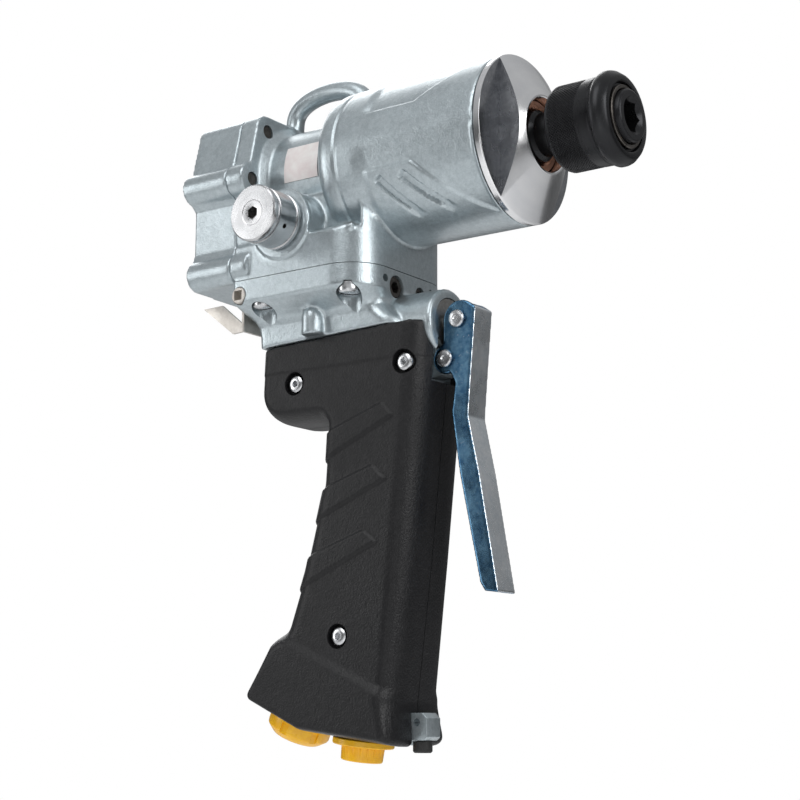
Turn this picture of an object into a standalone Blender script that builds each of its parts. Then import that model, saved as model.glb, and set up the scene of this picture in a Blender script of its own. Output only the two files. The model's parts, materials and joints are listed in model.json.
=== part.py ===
"""Pistol-grip hydraulic impact wrench with a quick-change hex chuck.

The origin is the centre of the rear cover's flat rear face, on the drive axis.
+X runs along the drive axis to the chuck, +Y is the left side, +Z is up.
Sizes are in millimetres until a mesh is made, which is in metres.
"""

import math

import bmesh
import bpy
from mathutils import Matrix, Vector

MM = 0.001
GAP = 0.3
RUNNING_GAP = 0.25

# Drive line, from the rear face forward.
REAR_COVER_LENGTH = 23.4
FLANGE_THICKNESS = 8.7
NECK_LENGTH = 33.3
BARREL_LENGTH = 75.6
NOSE_BAND_LENGTH = 2.7
NOSE_CONE_LENGTH = 9.8
BARREL_RADIUS = 33.0
BARREL_SHOULDER = 7.0
NECK_RADIUS = 23.0
CHAMBER_RADIUS = 28.6
NOSE_BOSS_RADIUS = 15.3
WRENCH_FLAT_HALF_WIDTH = 17.8

COVER_FRONT = REAR_COVER_LENGTH
HOUSING_REAR = COVER_FRONT + GAP
FLANGE_FRONT = HOUSING_REAR + FLANGE_THICKNESS
BARREL_REAR = FLANGE_FRONT + NECK_LENGTH
BARREL_FRONT = BARREL_REAR + BARREL_LENGTH
NOSE_REAR = BARREL_FRONT + GAP
BAND_FRONT = NOSE_REAR + NOSE_BAND_LENGTH
CONE_FRONT = BAND_FRONT + NOSE_CONE_LENGTH

# Rear block: three screw bosses on each side, and a flat top and bottom.
BLOCK_TOP = 27.0
BLOCK_BOTTOM = -46.5
BLOCK_WAIST = 28.4
COVER_SCREW_PLACES = ((20.4, 20.2), (29.6, -2.4), (26.2, -38.8))
COVER_BOSS_RADII = (6.8, 6.9, 6.8)
COVER_SCREW_RADIUS = 2.5
COVER_SCREW_HEAD_RADIUS = 4.0
COVER_SCREW_HEAD_LENGTH = 5.0
SCREW_HEAD_DEPTH = 0.6

# Gear motor.
GEAR_CENTRES = 24.0
GEAR_TEETH = 14
GEAR_MODULE = GEAR_CENTRES / GEAR_TEETH
PRESSURE_ANGLE = math.radians(22.5)
GEAR_BACKLASH = 0.30
GEAR_WIDTH = 11.6
POCKET_FLOOR = 8.4
WEAR_PLATE_THICKNESS = 2.3
SHAFT_RADIUS = 6.0
IDLER_SHAFT_RADIUS = 5.0
BEARING_OUTER_RADIUS = 10.6
BUSH_WALL = 2.4
BUSH_BORE_FLOOR = 3.6
SHAFT_REAR = 4.0

# Impact mechanism.
CAGE_RADIUS = 27.5
CAGE_REAR = 77.4
CAGE_LENGTH = 50.6
CAGE_DISC = 4.0
CAGE_WALL = 3.0
CAGE_HUB_RADIUS = 12.0
CAGE_HUB_LENGTH = 8.0
HAMMER_RADIUS = 24.0
HAMMER_BORE = 15.0
HAMMER_PIN_RADIUS = 3.0
HAMMER_PIN_PLACE = 19.5
ANVIL_CORE_RADIUS = 9.0
ANVIL_JAW_RADIUS = 13.5
ANVIL_JAW_WIDTH = 9.0
JOURNAL_RADIUS = 9.9
BUSH_OUTER_RADIUS = 14.2
NOSE_BUSH_RECESS = 3.9

# Chuck.
CHUCK_GAP = 7.3
SLEEVE_LENGTH = 26.9
SLEEVE_RADIUS = 16.65
SLEEVE_FLANGE_RADIUS = 18.0
SLEEVE_TRAVEL = 4.5
ANVIL_NECK_RADIUS = 8.5
ANVIL_END_RADIUS = 10.1
ANVIL_PROUD = 2.5
HEX_ACROSS_FLATS = 11.2
HEX_DEPTH = 26.0
BALL_RADIUS = 2.3
SPRING_WIRE = 1.3

SLEEVE_REAR = CONE_FRONT + CHUCK_GAP
SLEEVE_FRONT = SLEEVE_REAR + SLEEVE_LENGTH
ANVIL_FRONT = SLEEVE_FRONT + ANVIL_PROUD

# Lower body and reversing spool.
BODY_HALF_WIDTH = 31.2
BODY_FRONT = 89.5
BODY_FRONT_CORNER = 16.0
BODY_REAR_CORNER = 2.5
BODY_BOTTOM = -45.0
BODY_LEDGE = -30.5
SADDLE_HALF_WIDTH = 21.0
BODY_WALL = 5.1
BODY_WALL_TOP = -18.0
REVERSER_X = 49.8
REVERSER_Z = -24.8
REVERSER_BOSS_RADIUS = 14.2
REVERSER_BOSS_END = 32.4
REVERSER_TRAVEL = 6.0
REVERSER_SPOOL_RADIUS = 7.7
KNOB_RADIUS = 11.4
KNOB_LENGTH = 16.8
KNOB_HEX = 4.6

# Hanger loop.
HANGER_BAR_RADIUS = 4.0
HANGER_TOP = 40.0

# Handle casting.
CASTING_TOP = BODY_BOTTOM - GAP
CASTING_BAND_BOTTOM = -54.0
GRIP_TOP_REAR = -71.2
GRIP_TOP_SLOPE = 0.038
CASTING_FOOT_REAR = 28.6
CASTING_FOOT_FRONT = 97.0
CASTING_FOOT_HALF_WIDTH = 19.0
CORE_HALF_WIDTH = 12.2
VALVE_Z = -68.0
VALVE_BOSS_RADIUS = 14.0
VALVE_BOSS_REAR = 80.0
VALVE_BOSS_FRONT = 109.5
VALVE_SPOOL_RADIUS = 6.0
VALVE_SPRING_BORE = 10.4
BODY_SCREW_PLACES = ((36.8, 25.0), (81.2, 24.0))
BODY_SCREW_HEAD_BOTTOM = -60.0
BODY_SCREW_RADIUS = 2.5
BODY_SCREW_HEAD_RADIUS = 4.2
BODY_SCREW_HEAD_LENGTH = 5.0
BODY_SCREW_TOP = -36.0

# Grip.
GRIP_HALF_WIDTH = 18.0
PORT_BLOCK_HALF_WIDTH = 20.0
GRIP_WALL = 4.3
GRIP_REAR = 26.0
GRIP_SCREW_PLACES = ((46.5, -87.3), (99.6, -84.5), (69.4, -187.7))
GRIP_SCREW_RADIUS = 2.0
GRIP_SCREW_HEAD_RADIUS = 3.6
GRIP_SCREW_POCKET_RADIUS = 4.8
GRIP_SCREW_FLOOR = 14.6

# Trigger lever.
LEVER_PIVOT = (111.4, -83.0)
LEVER_LINK = (116.9, VALVE_Z)
LEVER_HALF_WIDTH = 6.2
LEVER_WALL = 2.0
LEVER_WEB = 2.0
LEVER_PIN_RADIUS = 2.3
EAR_HALF_WIDTH = 3.7

# Ports and foot.
PORT_RADIUS = 8.5
PORT_DEPTH = 18.0
PLUG_SHANK_LENGTH = 13.0
FOOT_HALF_WIDTH = 4.5
FOOT_FRONT = 101.6
FOOT_TOP = -216.2

FINISHES = {
    "cast_silver": ((0.56, 0.62, 0.65, 1.0), 0.75, 0.38),
    "bright_steel": ((0.80, 0.81, 0.82, 1.0), 1.0, 0.18),
    "black_oxide": ((0.020, 0.021, 0.024, 1.0), 0.8, 0.38),
    "bronze": ((0.50, 0.25, 0.15, 1.0), 0.9, 0.35),
    "black_plastic": ((0.018, 0.018, 0.020, 1.0), 0.0, 0.55),
    "blue_zinc": ((0.30, 0.42, 0.55, 1.0), 0.9, 0.30),
    "yellow_plastic": ((0.95, 0.55, 0.02, 1.0), 0.0, 0.35),
    "ground_steel": ((0.45, 0.46, 0.48, 1.0), 1.0, 0.30),
    "label_film": ((0.86, 0.85, 0.84, 1.0), 0.0, 0.45),
    "rubber": ((0.02, 0.02, 0.02, 1.0), 0.0, 0.85),
}


# --- Mesh helpers -----------------------------------------------------------


def clear_scene():
    """Removes whatever the file opened with."""
    for old in list(bpy.data.objects):
        bpy.data.objects.remove(old, do_unlink=True)


def finish_material(name):
    """The material of one finish, made once."""
    found = bpy.data.materials.get(name)
    if found:
        return found
    colour, metallic, roughness = FINISHES[name]
    made = bpy.data.materials.new(name)
    made.use_nodes = True
    shader = made.node_tree.nodes["Principled BSDF"]
    shader.inputs["Base Color"].default_value = colour
    shader.inputs["Metallic"].default_value = metallic
    shader.inputs["Roughness"].default_value = roughness
    made.diffuse_color = colour
    return made


def along(axis, x, y, z):
    """A point given as (along, across, across) for a shape built about an axis."""
    if axis == "X":
        return Vector((x, y, z))
    if axis == "Y":
        return Vector((z, x, y))
    return Vector((y, z, x))


def solid(mesh):
    """A working object for a closed mesh given in millimetres."""
    for vert in mesh.verts:
        vert.co = [round(value, 4) for value in vert.co]
    bmesh.ops.remove_doubles(mesh, verts=mesh.verts, dist=1e-4)
    bmesh.ops.connect_verts_nonplanar(mesh, angle_limit=1e-4, faces=mesh.faces)
    bmesh.ops.recalc_face_normals(mesh, faces=mesh.faces)
    data = bpy.data.meshes.new("shape")
    mesh.to_mesh(data)
    mesh.free()
    shape = bpy.data.objects.new("shape", data)
    bpy.context.scene.collection.objects.link(shape)
    return shape


def loft(rings):
    """A closed solid through rings of the same number of points, with flat ends."""
    mesh = bmesh.new()
    made = [[mesh.verts.new(point) for point in ring] for ring in rings]
    count = len(rings[0])
    for low, high in zip(made, made[1:]):
        for i in range(count):
            j = (i + 1) % count
            mesh.faces.new((low[i], low[j], high[j], high[i]))
    mesh.faces.new(list(reversed(made[0])))
    mesh.faces.new(made[-1])
    return solid(mesh)


def prism(outline, axis, low, high):
    """An outline pushed along an axis; Y outlines are (x, z), Z outlines (x, y), X outlines (y, z)."""
    place = {
        "X": lambda p, at: Vector((at, p[0], p[1])),
        "Y": lambda p, at: Vector((p[0], at, p[1])),
        "Z": lambda p, at: Vector((p[0], p[1], at)),
    }[axis]
    return loft([[place(p, at) for p in outline] for at in (low, high)])


def block(low, high):
    """A box between two corners."""
    outline = ((low[0], low[1]), (high[0], low[1]), (high[0], high[1]), (low[0], high[1]))
    return prism(outline, "Z", low[2], high[2])


def turned(profile, steps, axis="X", centre=(0.0, 0.0, 0.0), phase=0.0):
    """A profile of (along, radius) points spun about an axis through the centre.

    A profile that starts and ends at radius 0 is a bar; any other is closed into a ring.
    """
    mesh = bmesh.new()
    shift = Vector(centre)
    rings = []
    for at, radius in profile:
        if radius == 0.0:
            rings.append([mesh.verts.new(along(axis, at, 0.0, 0.0) + shift)])
            continue
        ring = []
        for i in range(steps):
            turn = phase + math.tau * i / steps
            spot = along(axis, at, radius * math.cos(turn), radius * math.sin(turn))
            ring.append(mesh.verts.new(spot + shift))
        rings.append(ring)
    pairs = list(zip(rings, rings[1:]))
    if profile[0][1] > 0.0:
        pairs.append((rings[-1], rings[0]))
    for low, high in pairs:
        for i in range(steps):
            j = (i + 1) % steps
            corners = [low[i % len(low)], low[j % len(low)], high[j % len(high)], high[i % len(high)]]
            mesh.faces.new(list(dict.fromkeys(corners)))
    return solid(mesh)


def rod(axis, centre, radius, low, high, steps=24, phase=0.0):
    """A plain round bar along an axis."""
    profile = ((low, 0.0), (low, radius), (high, radius), (high, 0.0))
    return turned(profile, steps, axis, centre, phase)


def ring(axis, centre, inner, outer, low, high, steps=24):
    """A plain round ring along an axis."""
    profile = ((low, inner), (low, outer), (high, outer), (high, inner))
    return turned(profile, steps, axis, centre)


def hexagon_rod(axis, centre, across_flats, low, high):
    """A six-sided bar along an axis."""
    radius = across_flats / 2 / math.cos(math.pi / 6)
    return rod(axis, centre, radius, low, high, 6)


def swept(points, radius, sides):
    """A round bar that follows a list of points, with flat ends."""
    rings = []
    normal = None
    for i, point in enumerate(points):
        before = points[max(i - 1, 0)]
        after = points[min(i + 1, len(points) - 1)]
        heading = (after - before).normalized()
        if normal is None:
            normal = heading.orthogonal().normalized()
        normal = (normal - heading * normal.dot(heading)).normalized()
        other = heading.cross(normal)
        ring_points = []
        for k in range(sides):
            turn = math.tau * k / sides
            ring_points.append(point + radius * (math.cos(turn) * normal + math.sin(turn) * other))
        rings.append(ring_points)
    return loft(rings)


def coil(centre, radius, wire_radius, low, high, turns, steps=11, sides=5):
    """A helical spring along X with its ends cut square."""
    points = []
    count = int(turns * steps)
    for i in range(count + 1):
        share = i / count
        turn = math.tau * turns * share
        place = Vector((low + (high - low) * share, radius * math.cos(turn), radius * math.sin(turn)))
        points.append(place + Vector(centre))
    return swept(points, wire_radius, sides)


def combine(base, operation, tools):
    """Joins tools to a base, or cuts them out of it, and keeps only the result."""
    for tool in tools:
        step = base.modifiers.new("shape_step", "BOOLEAN")
        step.operation = operation
        step.solver = "EXACT"
        step.object = tool
    graph = bpy.context.evaluated_depsgraph_get()
    data = bpy.data.meshes.new_from_object(base.evaluated_get(graph))
    base.modifiers.clear()
    base.data = data
    for tool in tools:
        bpy.data.objects.remove(tool, do_unlink=True)
    return base


def join(base, *tools):
    """The union of a base and its tools."""
    return combine(base, "UNION", tools)


def cut(base, *tools):
    """A base with its tools cut out."""
    return combine(base, "DIFFERENCE", tools)


def tidy_mesh(data):
    """Welds the near-coincident points that cuts leave."""
    mesh = bmesh.new()
    mesh.from_mesh(data)
    bmesh.ops.remove_doubles(mesh, verts=mesh.verts, dist=2e-6)
    bmesh.ops.dissolve_degenerate(mesh, edges=mesh.edges, dist=1e-6)
    bmesh.ops.triangulate(mesh, faces=mesh.faces)
    mesh.to_mesh(data)
    mesh.free()


def piece(name, shape, finish, body=None):
    """Names a finished shape, gives it its finish, and hangs it on its body's empty."""
    shape.data.transform(Matrix.Scale(MM, 4))
    tidy_mesh(shape.data)
    shape.name = name
    shape.data.name = name
    shape.data.materials.clear()
    shape.data.materials.append(finish_material(finish))
    shape.data.shade_smooth()
    shape.data.set_sharp_from_angle(angle=math.radians(32))
    if body:
        place = Vector(body.location)
        shape.data.transform(Matrix.Translation(-place))
        shape.parent = body
    return shape


def body_empty(name, place):
    """An empty on a moving body's joint axis."""
    made = bpy.data.objects.new(name, None)
    made.location = Vector(place) * MM
    bpy.context.scene.collection.objects.link(made)
    return made


# --- Outlines ---------------------------------------------------------------


def arc(centre, radius, start, end, steps):
    """Points on an arc, with angles in degrees."""
    points = []
    for i in range(steps + 1):
        turn = math.radians(start + (end - start) * i / steps)
        points.append((centre[0] + radius * math.cos(turn), centre[1] + radius * math.sin(turn)))
    return points


def mirrored(half):
    """A closed outline from its right half, which runs from top to bottom."""
    return list(half) + [(-a, b) for a, b in reversed(half) if abs(a) > 1e-6]


def block_outline(shrink=0.0):
    """The rear block's outline in Y and Z, with its screw bosses."""
    top, middle, low = COVER_SCREW_PLACES
    radii = [radius - shrink for radius in COVER_BOSS_RADII]
    waist = BLOCK_WAIST - shrink
    half = [(0.0, BLOCK_TOP - shrink)]
    half += arc(top, radii[0], 90, 0, 4)
    half += arc(middle, radii[1], 80, -80, 6)
    half += [(waist, middle[1] - radii[1] - 2.0), (waist, low[1] + radii[2] + 2.6)]
    half += arc(low, radii[2], 62, -90, 6)
    half += [(0.0, BLOCK_BOTTOM + shrink)]
    return mirrored(half)


def body_outline(rear, front, half_width, front_corner, rear_corner):
    """The lower body's outline in X and Y, with round corners."""
    near = arc((rear + rear_corner, -half_width + rear_corner), rear_corner, 180, 270, 3)
    near += arc((front - front_corner, -half_width + front_corner), front_corner, -90, 0, 8)
    return near + [(x, -y) for x, y in reversed(near)]


def rounded(corners, steps=4):
    """An outline whose corners, given as (x, z, radius), are rounded off."""
    points = []
    count = len(corners)
    for i, (x, z, radius) in enumerate(corners):
        here = Vector((x, z))
        before = (Vector(corners[i - 1][:2]) - here).normalized()
        after = (Vector(corners[(i + 1) % count][:2]) - here).normalized()
        if radius <= 0.0:
            points.append((x, z))
            continue
        half_angle = before.angle(after) / 2
        reach = radius / math.tan(half_angle)
        middle = here + (before + after).normalized() * radius / math.sin(half_angle)
        start = here + before * reach - middle
        end = here + after * reach - middle
        turn = start.angle_signed(end)
        for k in range(steps + 1):
            spin = Matrix.Rotation(-turn * k / steps, 2)
            spot = middle + spin @ start
            points.append((spot.x, spot.y))
    return points


def inset(corners, distance):
    """The corners of an outline moved inward by a distance, with their radii to match."""
    count = len(corners)
    made = []
    for i, (x, z, radius) in enumerate(corners):
        here = Vector((x, z))
        back = (here - Vector(corners[i - 1][:2])).normalized()
        ahead = (Vector(corners[(i + 1) % count][:2]) - here).normalized()
        normal_back = Vector((-back.y, back.x))
        normal_ahead = Vector((-ahead.y, ahead.x))
        mean = (normal_back + normal_ahead).normalized()
        reach = distance / max(mean.dot(normal_back), 0.3)
        convex = back.x * ahead.y - back.y * ahead.x > 0.0
        new_radius = max(radius - distance, 0.6) if convex else radius + distance
        made.append((x + mean.x * reach, z + mean.y * reach, new_radius))
    return made


def grip_top(x):
    """Height of the joint between the handle casting and the grip."""
    return GRIP_TOP_REAR + GRIP_TOP_SLOPE * (x - GRIP_REAR)


def grip_corners():
    """The grip's side outline as corners (x, z, radius), counter-clockwise seen from the right side."""
    front_top = 108.9
    return [
        (GRIP_REAR, grip_top(GRIP_REAR) - GAP, 2.0),
        (GRIP_REAR + 0.5, -104.0, 13.0),
        (60.6, -104.6, 3.0),
        (57.8, -128.0, 8.0),
        (49.1, -161.0, 8.0),
        (41.1, -183.6, 5.0),
        (34.4, -188.8, 5.0),
        (23.4, -210.9, 2.5),
        (51.0, -223.4, 6.0),
        (95.2, -229.2, 2.5),
        (94.2, -213.0, 8.0),
        (100.8, -159.0, 8.0),
        (107.4, -93.6, 6.0),
        (front_top, grip_top(front_top) - GAP, 2.0),
    ]


def facet(first, second):
    """Middle, direction and outward normal of a stretch of the grip's bottom edge."""
    a, b = Vector(first[:2]), Vector(second[:2])
    run = (b - a).normalized()
    return (a + b) / 2, run, Vector((run.y, -run.x))


# --- Housing ----------------------------------------------------------------


def cover_screw_spots():
    """Both sides' places of the rear cover's screws."""
    return [(side * y, z) for y, z in COVER_SCREW_PLACES for side in (-1, 1)]


def body_screw_spots():
    """Both sides' places of the screws that hold the handle casting."""
    return [(x, side * y) for x, y in BODY_SCREW_PLACES for side in (-1, 1)]


def hanger():
    """The hanger bail, a cast bar from the flange's top to the barrel's."""
    start = Vector((FLANGE_FRONT - 4.6, 0.0, BLOCK_TOP - 6.0))
    middle = (FLANGE_FRONT + BARREL_REAR) / 2
    spread = (BARREL_REAR - FLANGE_FRONT) / 2 + 2.2
    rise = HANGER_TOP - BLOCK_TOP - 1.0
    points = [start]
    for i in range(13):
        turn = math.pi * (1.0 - i / 12)
        bulge = max(math.sin(turn), 0.0) ** 0.72
        points.append(Vector((middle + spread * math.cos(turn), 0.0, BLOCK_TOP + 1.0 + rise * bulge)))
    points.append(Vector((BARREL_REAR + 6.0, 0.0, BLOCK_TOP - 3.0)))
    return swept(points, HANGER_BAR_RADIUS, 10)


def main_housing():
    """Barrel, neck, flange, lower body, spool bosses and hanger as one casting."""
    barrel = turned(
        (
            (BARREL_REAR, 0.0),
            (BARREL_REAR, BARREL_RADIUS - 5.5),
            (BARREL_REAR + 2.4, BARREL_RADIUS - 1.8),
            (BARREL_REAR + BARREL_SHOULDER, BARREL_RADIUS),
            (BARREL_FRONT, BARREL_RADIUS),
            (BARREL_FRONT, 0.0),
        ),
        40,
    )
    neck = rod("X", (0, 0, 0), NECK_RADIUS, HOUSING_REAR + 1.0, BARREL_REAR + 2.0, 32)
    flange = prism(block_outline(), "X", HOUSING_REAR, FLANGE_FRONT)
    outline = body_outline(HOUSING_REAR, BODY_FRONT, BODY_HALF_WIDTH, BODY_FRONT_CORNER, BODY_REAR_CORNER)
    lower = prism(outline, "Z", BODY_BOTTOM, BODY_LEDGE)
    saddle_outline = body_outline(
        HOUSING_REAR, BODY_FRONT - 1.2, SADDLE_HALF_WIDTH, BODY_FRONT_CORNER, BODY_REAR_CORNER
    )
    saddle = prism(saddle_outline, "Z", BODY_LEDGE - 1.0, -12.0)
    bosses = rod(
        "Y", (REVERSER_X, 0, REVERSER_Z), REVERSER_BOSS_RADIUS, -REVERSER_BOSS_END, REVERSER_BOSS_END, 28
    )
    wall = cut(
        prism(outline, "Z", BODY_LEDGE - 1.0, BODY_WALL_TOP),
        block((HOUSING_REAR - 5.0, -50.0, BODY_BOTTOM), (BODY_FRONT - BODY_WALL, 50.0, 0.0)),
    )
    body = join(barrel, neck, flange, lower, saddle, bosses, wall, hanger())
    cuts = [
        rod("X", (0, 0, 0), CHAMBER_RADIUS, CAGE_REAR - 0.9, BARREL_FRONT + 5.0, 32),
        rod("X", (0, 0, 0), CAGE_HUB_RADIUS + 1.0, CAGE_REAR - CAGE_HUB_LENGTH - 1.5, CAGE_REAR, 24),
        rod("X", (0, 0, 0), SHAFT_RADIUS + 1.0, HOUSING_REAR - 1.0, CAGE_REAR, 24),
        rod("X", (0, 0, 0), BEARING_OUTER_RADIUS + GAP, HOUSING_REAR - 1.0, 42.6, 32),
        rod("X", (0, 0, -GEAR_CENTRES), IDLER_SHAFT_RADIUS + GAP, HOUSING_REAR - 1.0, 30.6, 24),
        rod("Y", (REVERSER_X, 0, REVERSER_Z), REVERSER_SPOOL_RADIUS + GAP, -40.0, 40.0, 32),
    ]
    cuts.append(block((HOUSING_REAR - 2.0, -45.0, BODY_BOTTOM - 9.0), (BODY_FRONT + 5.0, 45.0, BODY_BOTTOM)))
    for side in (-1, 1):
        cuts.append(rod("X", (0, side * 9.0, -19.5), 2.2, HOUSING_REAR - 1.0, REVERSER_X, 8))
    for shift in (-5.0, 5.0):
        cuts.append(rod("Z", (REVERSER_X + shift, 0, 0), 2.4, BODY_BOTTOM - 1.0, REVERSER_Z, 8))
    for y, z in cover_screw_spots():
        blind_end = FLANGE_FRONT + 1.0
        cuts.append(rod("X", (0, y, z), COVER_SCREW_RADIUS + GAP, HOUSING_REAR - 1.0, blind_end, 12))
    for x, y in body_screw_spots():
        cuts.append(rod("Z", (x, y, 0), BODY_SCREW_RADIUS + GAP, BODY_BOTTOM - 1.0, BODY_SCREW_TOP + 1.0, 12))
    piece("main_housing", cut(body, *cuts), "cast_silver")


def nose_cap():
    """The polished cap that screws into the barrel, with two wrench flats cut in its cone."""
    root = BARREL_FRONT - 9.0
    shape = turned(
        (
            (root, CHAMBER_RADIUS - 4.6),
            (root, CHAMBER_RADIUS - GAP),
            (NOSE_REAR, CHAMBER_RADIUS - GAP),
            (NOSE_REAR, BARREL_RADIUS),
            (BAND_FRONT, BARREL_RADIUS),
            (CONE_FRONT, NOSE_BOSS_RADIUS),
            (CONE_FRONT, BUSH_OUTER_RADIUS + GAP),
            (BARREL_FRONT - 2.1, BUSH_OUTER_RADIUS + GAP),
            (BARREL_FRONT - 2.1, JOURNAL_RADIUS + 1.1),
            (BARREL_FRONT - 4.3, JOURNAL_RADIUS + 1.1),
            (BARREL_FRONT - 4.3, CHAMBER_RADIUS - 4.6),
        ),
        40,
    )
    tools = []
    for side in (-1, 1):
        near, far = sorted((side * WRENCH_FLAT_HALF_WIDTH, side * 40.0))
        tools.append(block((BAND_FRONT, near, -40.0), (CONE_FRONT + 5.0, far, 40.0)))
    piece("nose_cap", cut(shape, *tools), "bright_steel")
    bush_front = CONE_FRONT - NOSE_BUSH_RECESS
    bush = turned(
        (
            (BARREL_FRONT - 1.8, JOURNAL_RADIUS + RUNNING_GAP),
            (BARREL_FRONT - 1.8, BUSH_OUTER_RADIUS),
            (bush_front - 0.5, BUSH_OUTER_RADIUS),
            (bush_front, BUSH_OUTER_RADIUS - 0.5),
            (bush_front, JOURNAL_RADIUS + RUNNING_GAP + 1.0),
            (bush_front - 1.1, JOURNAL_RADIUS + RUNNING_GAP),
        ),
        28,
    )
    piece("nose_bush", bush, "bronze")


def rear_cover():
    """The cover that holds the gear motor, with its pocket open to the front."""
    shape = prism(block_outline(0.35), "X", 0.0, COVER_FRONT)
    tip = GEAR_CENTRES / 2 + 0.9 * GEAR_MODULE
    cuts = []
    for z in (0.0, -GEAR_CENTRES):
        cuts.append(rod("X", (0, 0, z), tip + 0.35, POCKET_FLOOR, COVER_FRONT + 1.0, 32))
    bores = ((0.0, SHAFT_RADIUS), (-GEAR_CENTRES, IDLER_SHAFT_RADIUS))
    for z, radius in bores:
        outer = radius + RUNNING_GAP + BUSH_WALL + GAP
        cuts.append(rod("X", (0, 0, z), outer, BUSH_BORE_FLOOR, POCKET_FLOOR + 1.0, 24))
    for y, z in cover_screw_spots():
        cuts.append(rod("X", (0, y, z), COVER_SCREW_RADIUS + GAP, -1.0, COVER_FRONT + 1.0, 12))
        seat = SCREW_HEAD_DEPTH + COVER_SCREW_HEAD_LENGTH + GAP
        cuts.append(rod("X", (0, y, z), COVER_SCREW_HEAD_RADIUS + GAP, -1.0, seat, 16))
    piece("rear_cover", cut(shape, *cuts), "cast_silver")


def cap_screw(name, axis, centre, head, end, head_radius, head_length, radius, socket, finish):
    """A socket head cap screw from its head's face to its end, along an axis."""
    way = 1.0 if end > head else -1.0
    under = head + way * head_length
    profile = (
        (head, 0.0),
        (head, head_radius - 0.4),
        (head + way * 0.4, head_radius),
        (under, head_radius),
        (under, radius),
        (end, radius),
        (end, 0.0),
    )
    shape = turned(profile, 12, axis, centre)
    low, high = sorted((head - way, head + way * head_length * 0.55))
    return piece(name, cut(shape, hexagon_rod(axis, centre, socket, low, high)), finish)


def cover_screws():
    """The six screws that hold the rear cover to the flange."""
    for number, (y, z) in enumerate(cover_screw_spots(), 1):
        cap_screw(
            f"cover_screw_{number}",
            "X",
            (0, y, z),
            SCREW_HEAD_DEPTH,
            FLANGE_FRONT - 0.5,
            COVER_SCREW_HEAD_RADIUS,
            COVER_SCREW_HEAD_LENGTH,
            COVER_SCREW_RADIUS,
            4.0,
            "black_oxide",
        )


def body_screws():
    """The four screws that hold the handle casting to the housing, from below."""
    for number, (x, y) in enumerate(body_screw_spots(), 1):
        cap_screw(
            f"body_screw_{number}",
            "Z",
            (x, y, 0),
            BODY_SCREW_HEAD_BOTTOM,
            BODY_SCREW_TOP,
            BODY_SCREW_HEAD_RADIUS,
            BODY_SCREW_HEAD_LENGTH,
            BODY_SCREW_RADIUS,
            4.0,
            "ground_steel",
        )


def neck_label():
    """A blank film label wrapped round the right side of the neck."""
    inner = NECK_RADIUS + GAP
    outer = inner + 0.4
    rings = []
    for at in (FLANGE_FRONT + 3.6, BARREL_REAR - 4.5):
        spots = arc((0, 0), outer, 120, 186, 10) + arc((0, 0), inner, 186, 120, 10)
        rings.append([Vector((at, y, z)) for y, z in spots])
    piece("neck_label", loft(rings), "label_film")


# --- Gear motor -------------------------------------------------------------


def gear_outline(phase):
    """An involute gear's outline in Y and Z about its own centre, starting at a tooth."""
    pitch = GEAR_CENTRES / 2
    base = pitch * math.cos(PRESSURE_ANGLE)
    tip = pitch + 0.9 * GEAR_MODULE
    root = pitch - 1.2 * GEAR_MODULE
    half_tooth = math.pi / (2 * GEAR_TEETH) - GEAR_BACKLASH / (2 * pitch)

    def half_angle(radius):
        lean = math.acos(min(base / radius, 1.0))
        pitch_lean = math.tan(PRESSURE_ANGLE) - PRESSURE_ANGLE
        return half_tooth + pitch_lean - (math.tan(lean) - lean)

    radii = [base + 0.05, pitch - 0.4, (pitch + tip) / 2, tip]
    flank = [(root, half_angle(radii[0]))] + [(r, half_angle(r)) for r in radii]
    points = []
    for tooth in range(GEAR_TEETH):
        middle = phase + math.tau * tooth / GEAR_TEETH
        for radius, half in flank:
            points.append((radius * math.cos(middle - half), radius * math.sin(middle - half)))
        for radius, half in reversed(flank):
            points.append((radius * math.cos(middle + half), radius * math.sin(middle + half)))
    return points


def gears(rotor, idler):
    """The drive gear on its shaft, and the idler gear that meshes below it."""
    rear = POCKET_FLOOR + 0.35
    front = rear + GEAR_WIDTH
    drive = prism(gear_outline(-math.pi / 2), "X", rear, front)
    cut(drive, rod("X", (0, 0, 0), SHAFT_RADIUS + GAP, rear - 1.0, front + 1.0, 24))
    piece("drive_gear", drive, "ground_steel", rotor)
    half_pitch = math.pi / GEAR_TEETH
    outline = [(y, z - GEAR_CENTRES) for y, z in gear_outline(math.pi / 2 + half_pitch)]
    second = prism(outline, "X", rear, front)
    stub = rod("X", (0, 0, -GEAR_CENTRES), IDLER_SHAFT_RADIUS, SHAFT_REAR, 30.0, 20)
    piece("idler_gear", join(second, stub), "ground_steel", idler)
    shaft = turned(
        (
            (SHAFT_REAR, 0.0),
            (SHAFT_REAR, SHAFT_RADIUS - 0.5),
            (SHAFT_REAR + 0.5, SHAFT_RADIUS),
            (CAGE_REAR - 1.4, SHAFT_RADIUS),
            (CAGE_REAR - 0.9, SHAFT_RADIUS - 0.5),
            (CAGE_REAR - 0.9, 0.0),
        ),
        24,
    )
    piece("drive_shaft", shaft, "ground_steel", rotor)


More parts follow.
